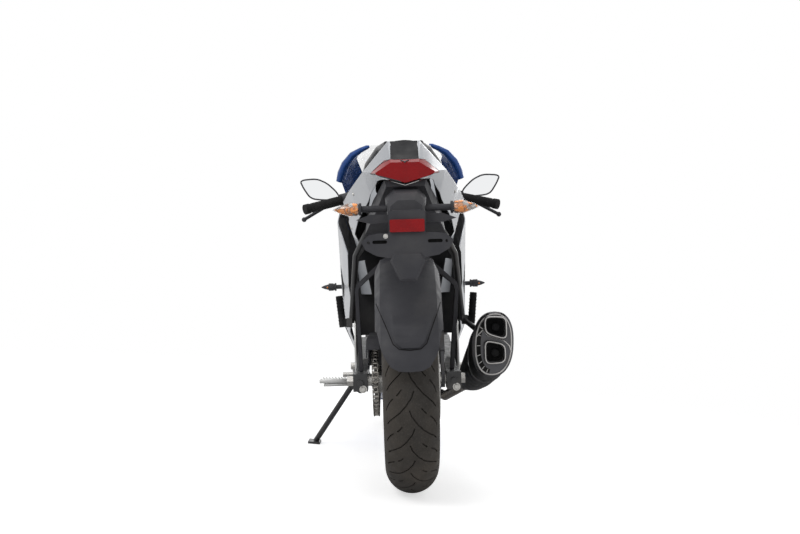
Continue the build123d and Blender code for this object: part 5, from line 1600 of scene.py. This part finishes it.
# ---- stage ------------------------------------------------------------------------------------------
FOCAL_PX = 999.0
VIEW_W = 800
VIEW_H = 534
HORIZON_ROW = 286.5
CAMERA_AT = Vector((-34.0, -2700.0, 550.0))
VIEW_TILT = radians(5.35)
VIEW_YAW = radians(-0.3)
SENSOR = 36.0
# soft lamps: name, place, what they point at, size, watts
LAMPS = (
    ("key", (-2.6, -3.4, 3.6), (0.1, -0.5, 0.6), 2.6, 76),
    ("fill", (3.4, -2.6, 2.0), (0.1, -0.3, 0.5), 2.4, 9),
    ("top", (0.0, 0.6, 4.4), (0.1, 0.0, 0.5), 3.0, 32),
    ("front", (1.5, 4.5, 2.6), (0.0, 0.4, 0.6), 2.6, 60),
)
# the world's strength for diffuse light, and where the camera, reflections and glass look into it
WORLD_LEVELS = (0.34, 1.0)
# the floor: radius, where it begins and ends to fade, how much it glows to the camera
FLOOR_R = 9.0
FLOOR_FADE = (1.1, 3.2)
FLOOR_GLOW = 0.6


def add_lamp(name, at, target, size, watts):
    """A soft square lamp aimed at a point."""
    data = bpy.data.lights.new(name, "AREA")
    data.shape = "SQUARE"
    data.size = size
    data.energy = watts
    lamp = bpy.data.objects.new(name, data)
    bpy.context.scene.collection.objects.link(lamp)
    lamp.location = at
    lamp.rotation_euler = (Vector(target) - Vector(at)).to_track_quat("-Z", "Y").to_euler()


def add_world(scene):
    """A white world that is dimmer as diffuse light than as seen."""
    world = bpy.data.worlds.new("studio")
    scene.world = world
    world.use_nodes = True
    tree = world.node_tree
    back = tree.nodes["Background"]
    back.inputs["Color"].default_value = (1, 1, 1, 1)
    rays = tree.nodes.new("ShaderNodeLightPath")
    seen = rays.outputs["Is Camera Ray"]
    for other in ("Is Glossy Ray", "Is Transmission Ray"):
        higher = tree.nodes.new("ShaderNodeMath")
        higher.operation = "MAXIMUM"
        tree.links.new(seen, higher.inputs[0])
        tree.links.new(rays.outputs[other], higher.inputs[1])
        seen = higher.outputs[0]
    level = tree.nodes.new("ShaderNodeMapRange")
    set_range(level, 0.0, 1.0, *WORLD_LEVELS)
    tree.links.new(seen, level.inputs["Value"])
    tree.links.new(level.outputs[0], back.inputs["Strength"])


def add_floor(scene):
    """A pale round floor that fades out before its edge."""
    bm = bmesh.new()
    bmesh.ops.create_circle(bm, cap_ends=True, segments=96, radius=FLOOR_R)
    mesh = bpy.data.meshes.new("floor")
    bm.to_mesh(mesh)
    bm.free()
    floor = bpy.data.objects.new("floor", mesh)
    scene.collection.objects.link(floor)
    pale = bpy.data.materials.new("pale_floor")
    pale.use_nodes = True
    tree = pale.node_tree
    shader = tree.nodes["Principled BSDF"]
    shader.inputs["Base Color"].default_value = (0.93, 0.93, 0.93, 1)
    shader.inputs["Roughness"].default_value = 0.9
    shader.inputs["Emission Color"].default_value = (1, 1, 1, 1)
    reach = tree.nodes.new("ShaderNodeVectorMath")
    reach.operation = "LENGTH"
    tree.links.new(tree.nodes.new("ShaderNodeTexCoord").outputs["Object"], reach.inputs[0])
    fade = tree.nodes.new("ShaderNodeMapRange")
    fade.interpolation_type = "SMOOTHSTEP"
    set_range(fade, *FLOOR_FADE, 1.0, 0.0)
    tree.links.new(reach.outputs["Value"], fade.inputs["Value"])
    tree.links.new(fade.outputs[0], shader.inputs["Alpha"])
    glow = tree.nodes.new("ShaderNodeMath")
    glow.operation = "MULTIPLY"
    glow.inputs[1].default_value = FLOOR_GLOW
    tree.links.new(tree.nodes.new("ShaderNodeLightPath").outputs["Is Camera Ray"], glow.inputs[0])
    tree.links.new(glow.outputs[0], shader.inputs["Emission Strength"])
    mesh.materials.append(pale)


def add_camera(scene):
    """The camera, fitted to the upright machine and turned with its lean."""
    data = bpy.data.cameras.new("camera")
    data.sensor_width = SENSOR
    data.lens = FOCAL_PX / VIEW_W * SENSOR
    data.clip_start = 0.05
    camera = bpy.data.objects.new("camera", data)
    scene.collection.objects.link(camera)
    scene.camera = camera
    rise = atan2(HORIZON_ROW - VIEW_H / 2, FOCAL_PX)
    ground = STANCE @ Vector((0, 0, 0))
    turn = Matrix.Rotation(-VIEW_TILT, 4, "Y") @ Matrix.Rotation(VIEW_YAW, 4, "Z")
    look = Matrix.Rotation(pi / 2 + rise, 4, "X")
    camera.matrix_world = Matrix.Translation(ground) @ turn @ Matrix.Translation(CAMERA_AT * MM) @ look


class BIKE_OT_stage(BikeTool, bpy.types.Operator):
    """Pale floor, soft lamps and the camera"""

    bl_idname = "bike.stage"
    bl_label = "Stage"

    def execute(self, context):
        scene = context.scene
        scene.view_settings.view_transform = "Standard"
        add_world(scene)
        add_floor(scene)
        for row in LAMPS:
            add_lamp(*row)
        add_camera(scene)
        return {"FINISHED"}


# ---- panel and registration -------------------------------------------------------------------------
STEPS = (
    BIKE_OT_finishes,
    BIKE_OT_tyres,
    BIKE_OT_wheel_fittings,
    BIKE_OT_chain,
    BIKE_OT_shells,
    BIKE_OT_mouldings,
    BIKE_OT_seats,
    BIKE_OT_lamps,
    BIKE_OT_exhaust,
    BIKE_OT_inner_panels,
    BIKE_OT_mirrors,
    BIKE_OT_fittings,
    BIKE_OT_stage,
)


class BIKE_PT_panel(bpy.types.Panel):
    """Lists the motorcycle's pieces and their sizes"""

    bl_idname = "BIKE_PT_panel"
    bl_label = "Motorcycle"
    bl_space_type = "VIEW_3D"
    bl_region_type = "UI"
    bl_category = "Motorcycle"

    def draw(self, context):
        for group in (context.scene.bike_colours, context.scene.bike_sizes):
            for name in group.__annotations__:
                self.layout.prop(group, name)
        for step in STEPS:
            self.layout.operator(step.bl_idname)


CLASSES = (BikeColours, BikeSizes, *STEPS, BIKE_PT_panel)


def register():
    """Adds the classes and the scene's properties."""
    for cls in CLASSES:
        bpy.utils.register_class(cls)
    bpy.types.Scene.bike_colours = PointerProperty(type=BikeColours)
    bpy.types.Scene.bike_sizes = PointerProperty(type=BikeSizes)


def unregister():
    """Takes them away again."""
    del bpy.types.Scene.bike_sizes
    del bpy.types.Scene.bike_colours
    for cls in reversed(CLASSES):
        bpy.utils.unregister_class(cls)


def main():
    """Makes every piece in order."""
    register()
    for step in STEPS:
        group, name = step.bl_idname.split(".")
        getattr(getattr(bpy.ops, group), name)()


if __name__ == "__main__":
    main()
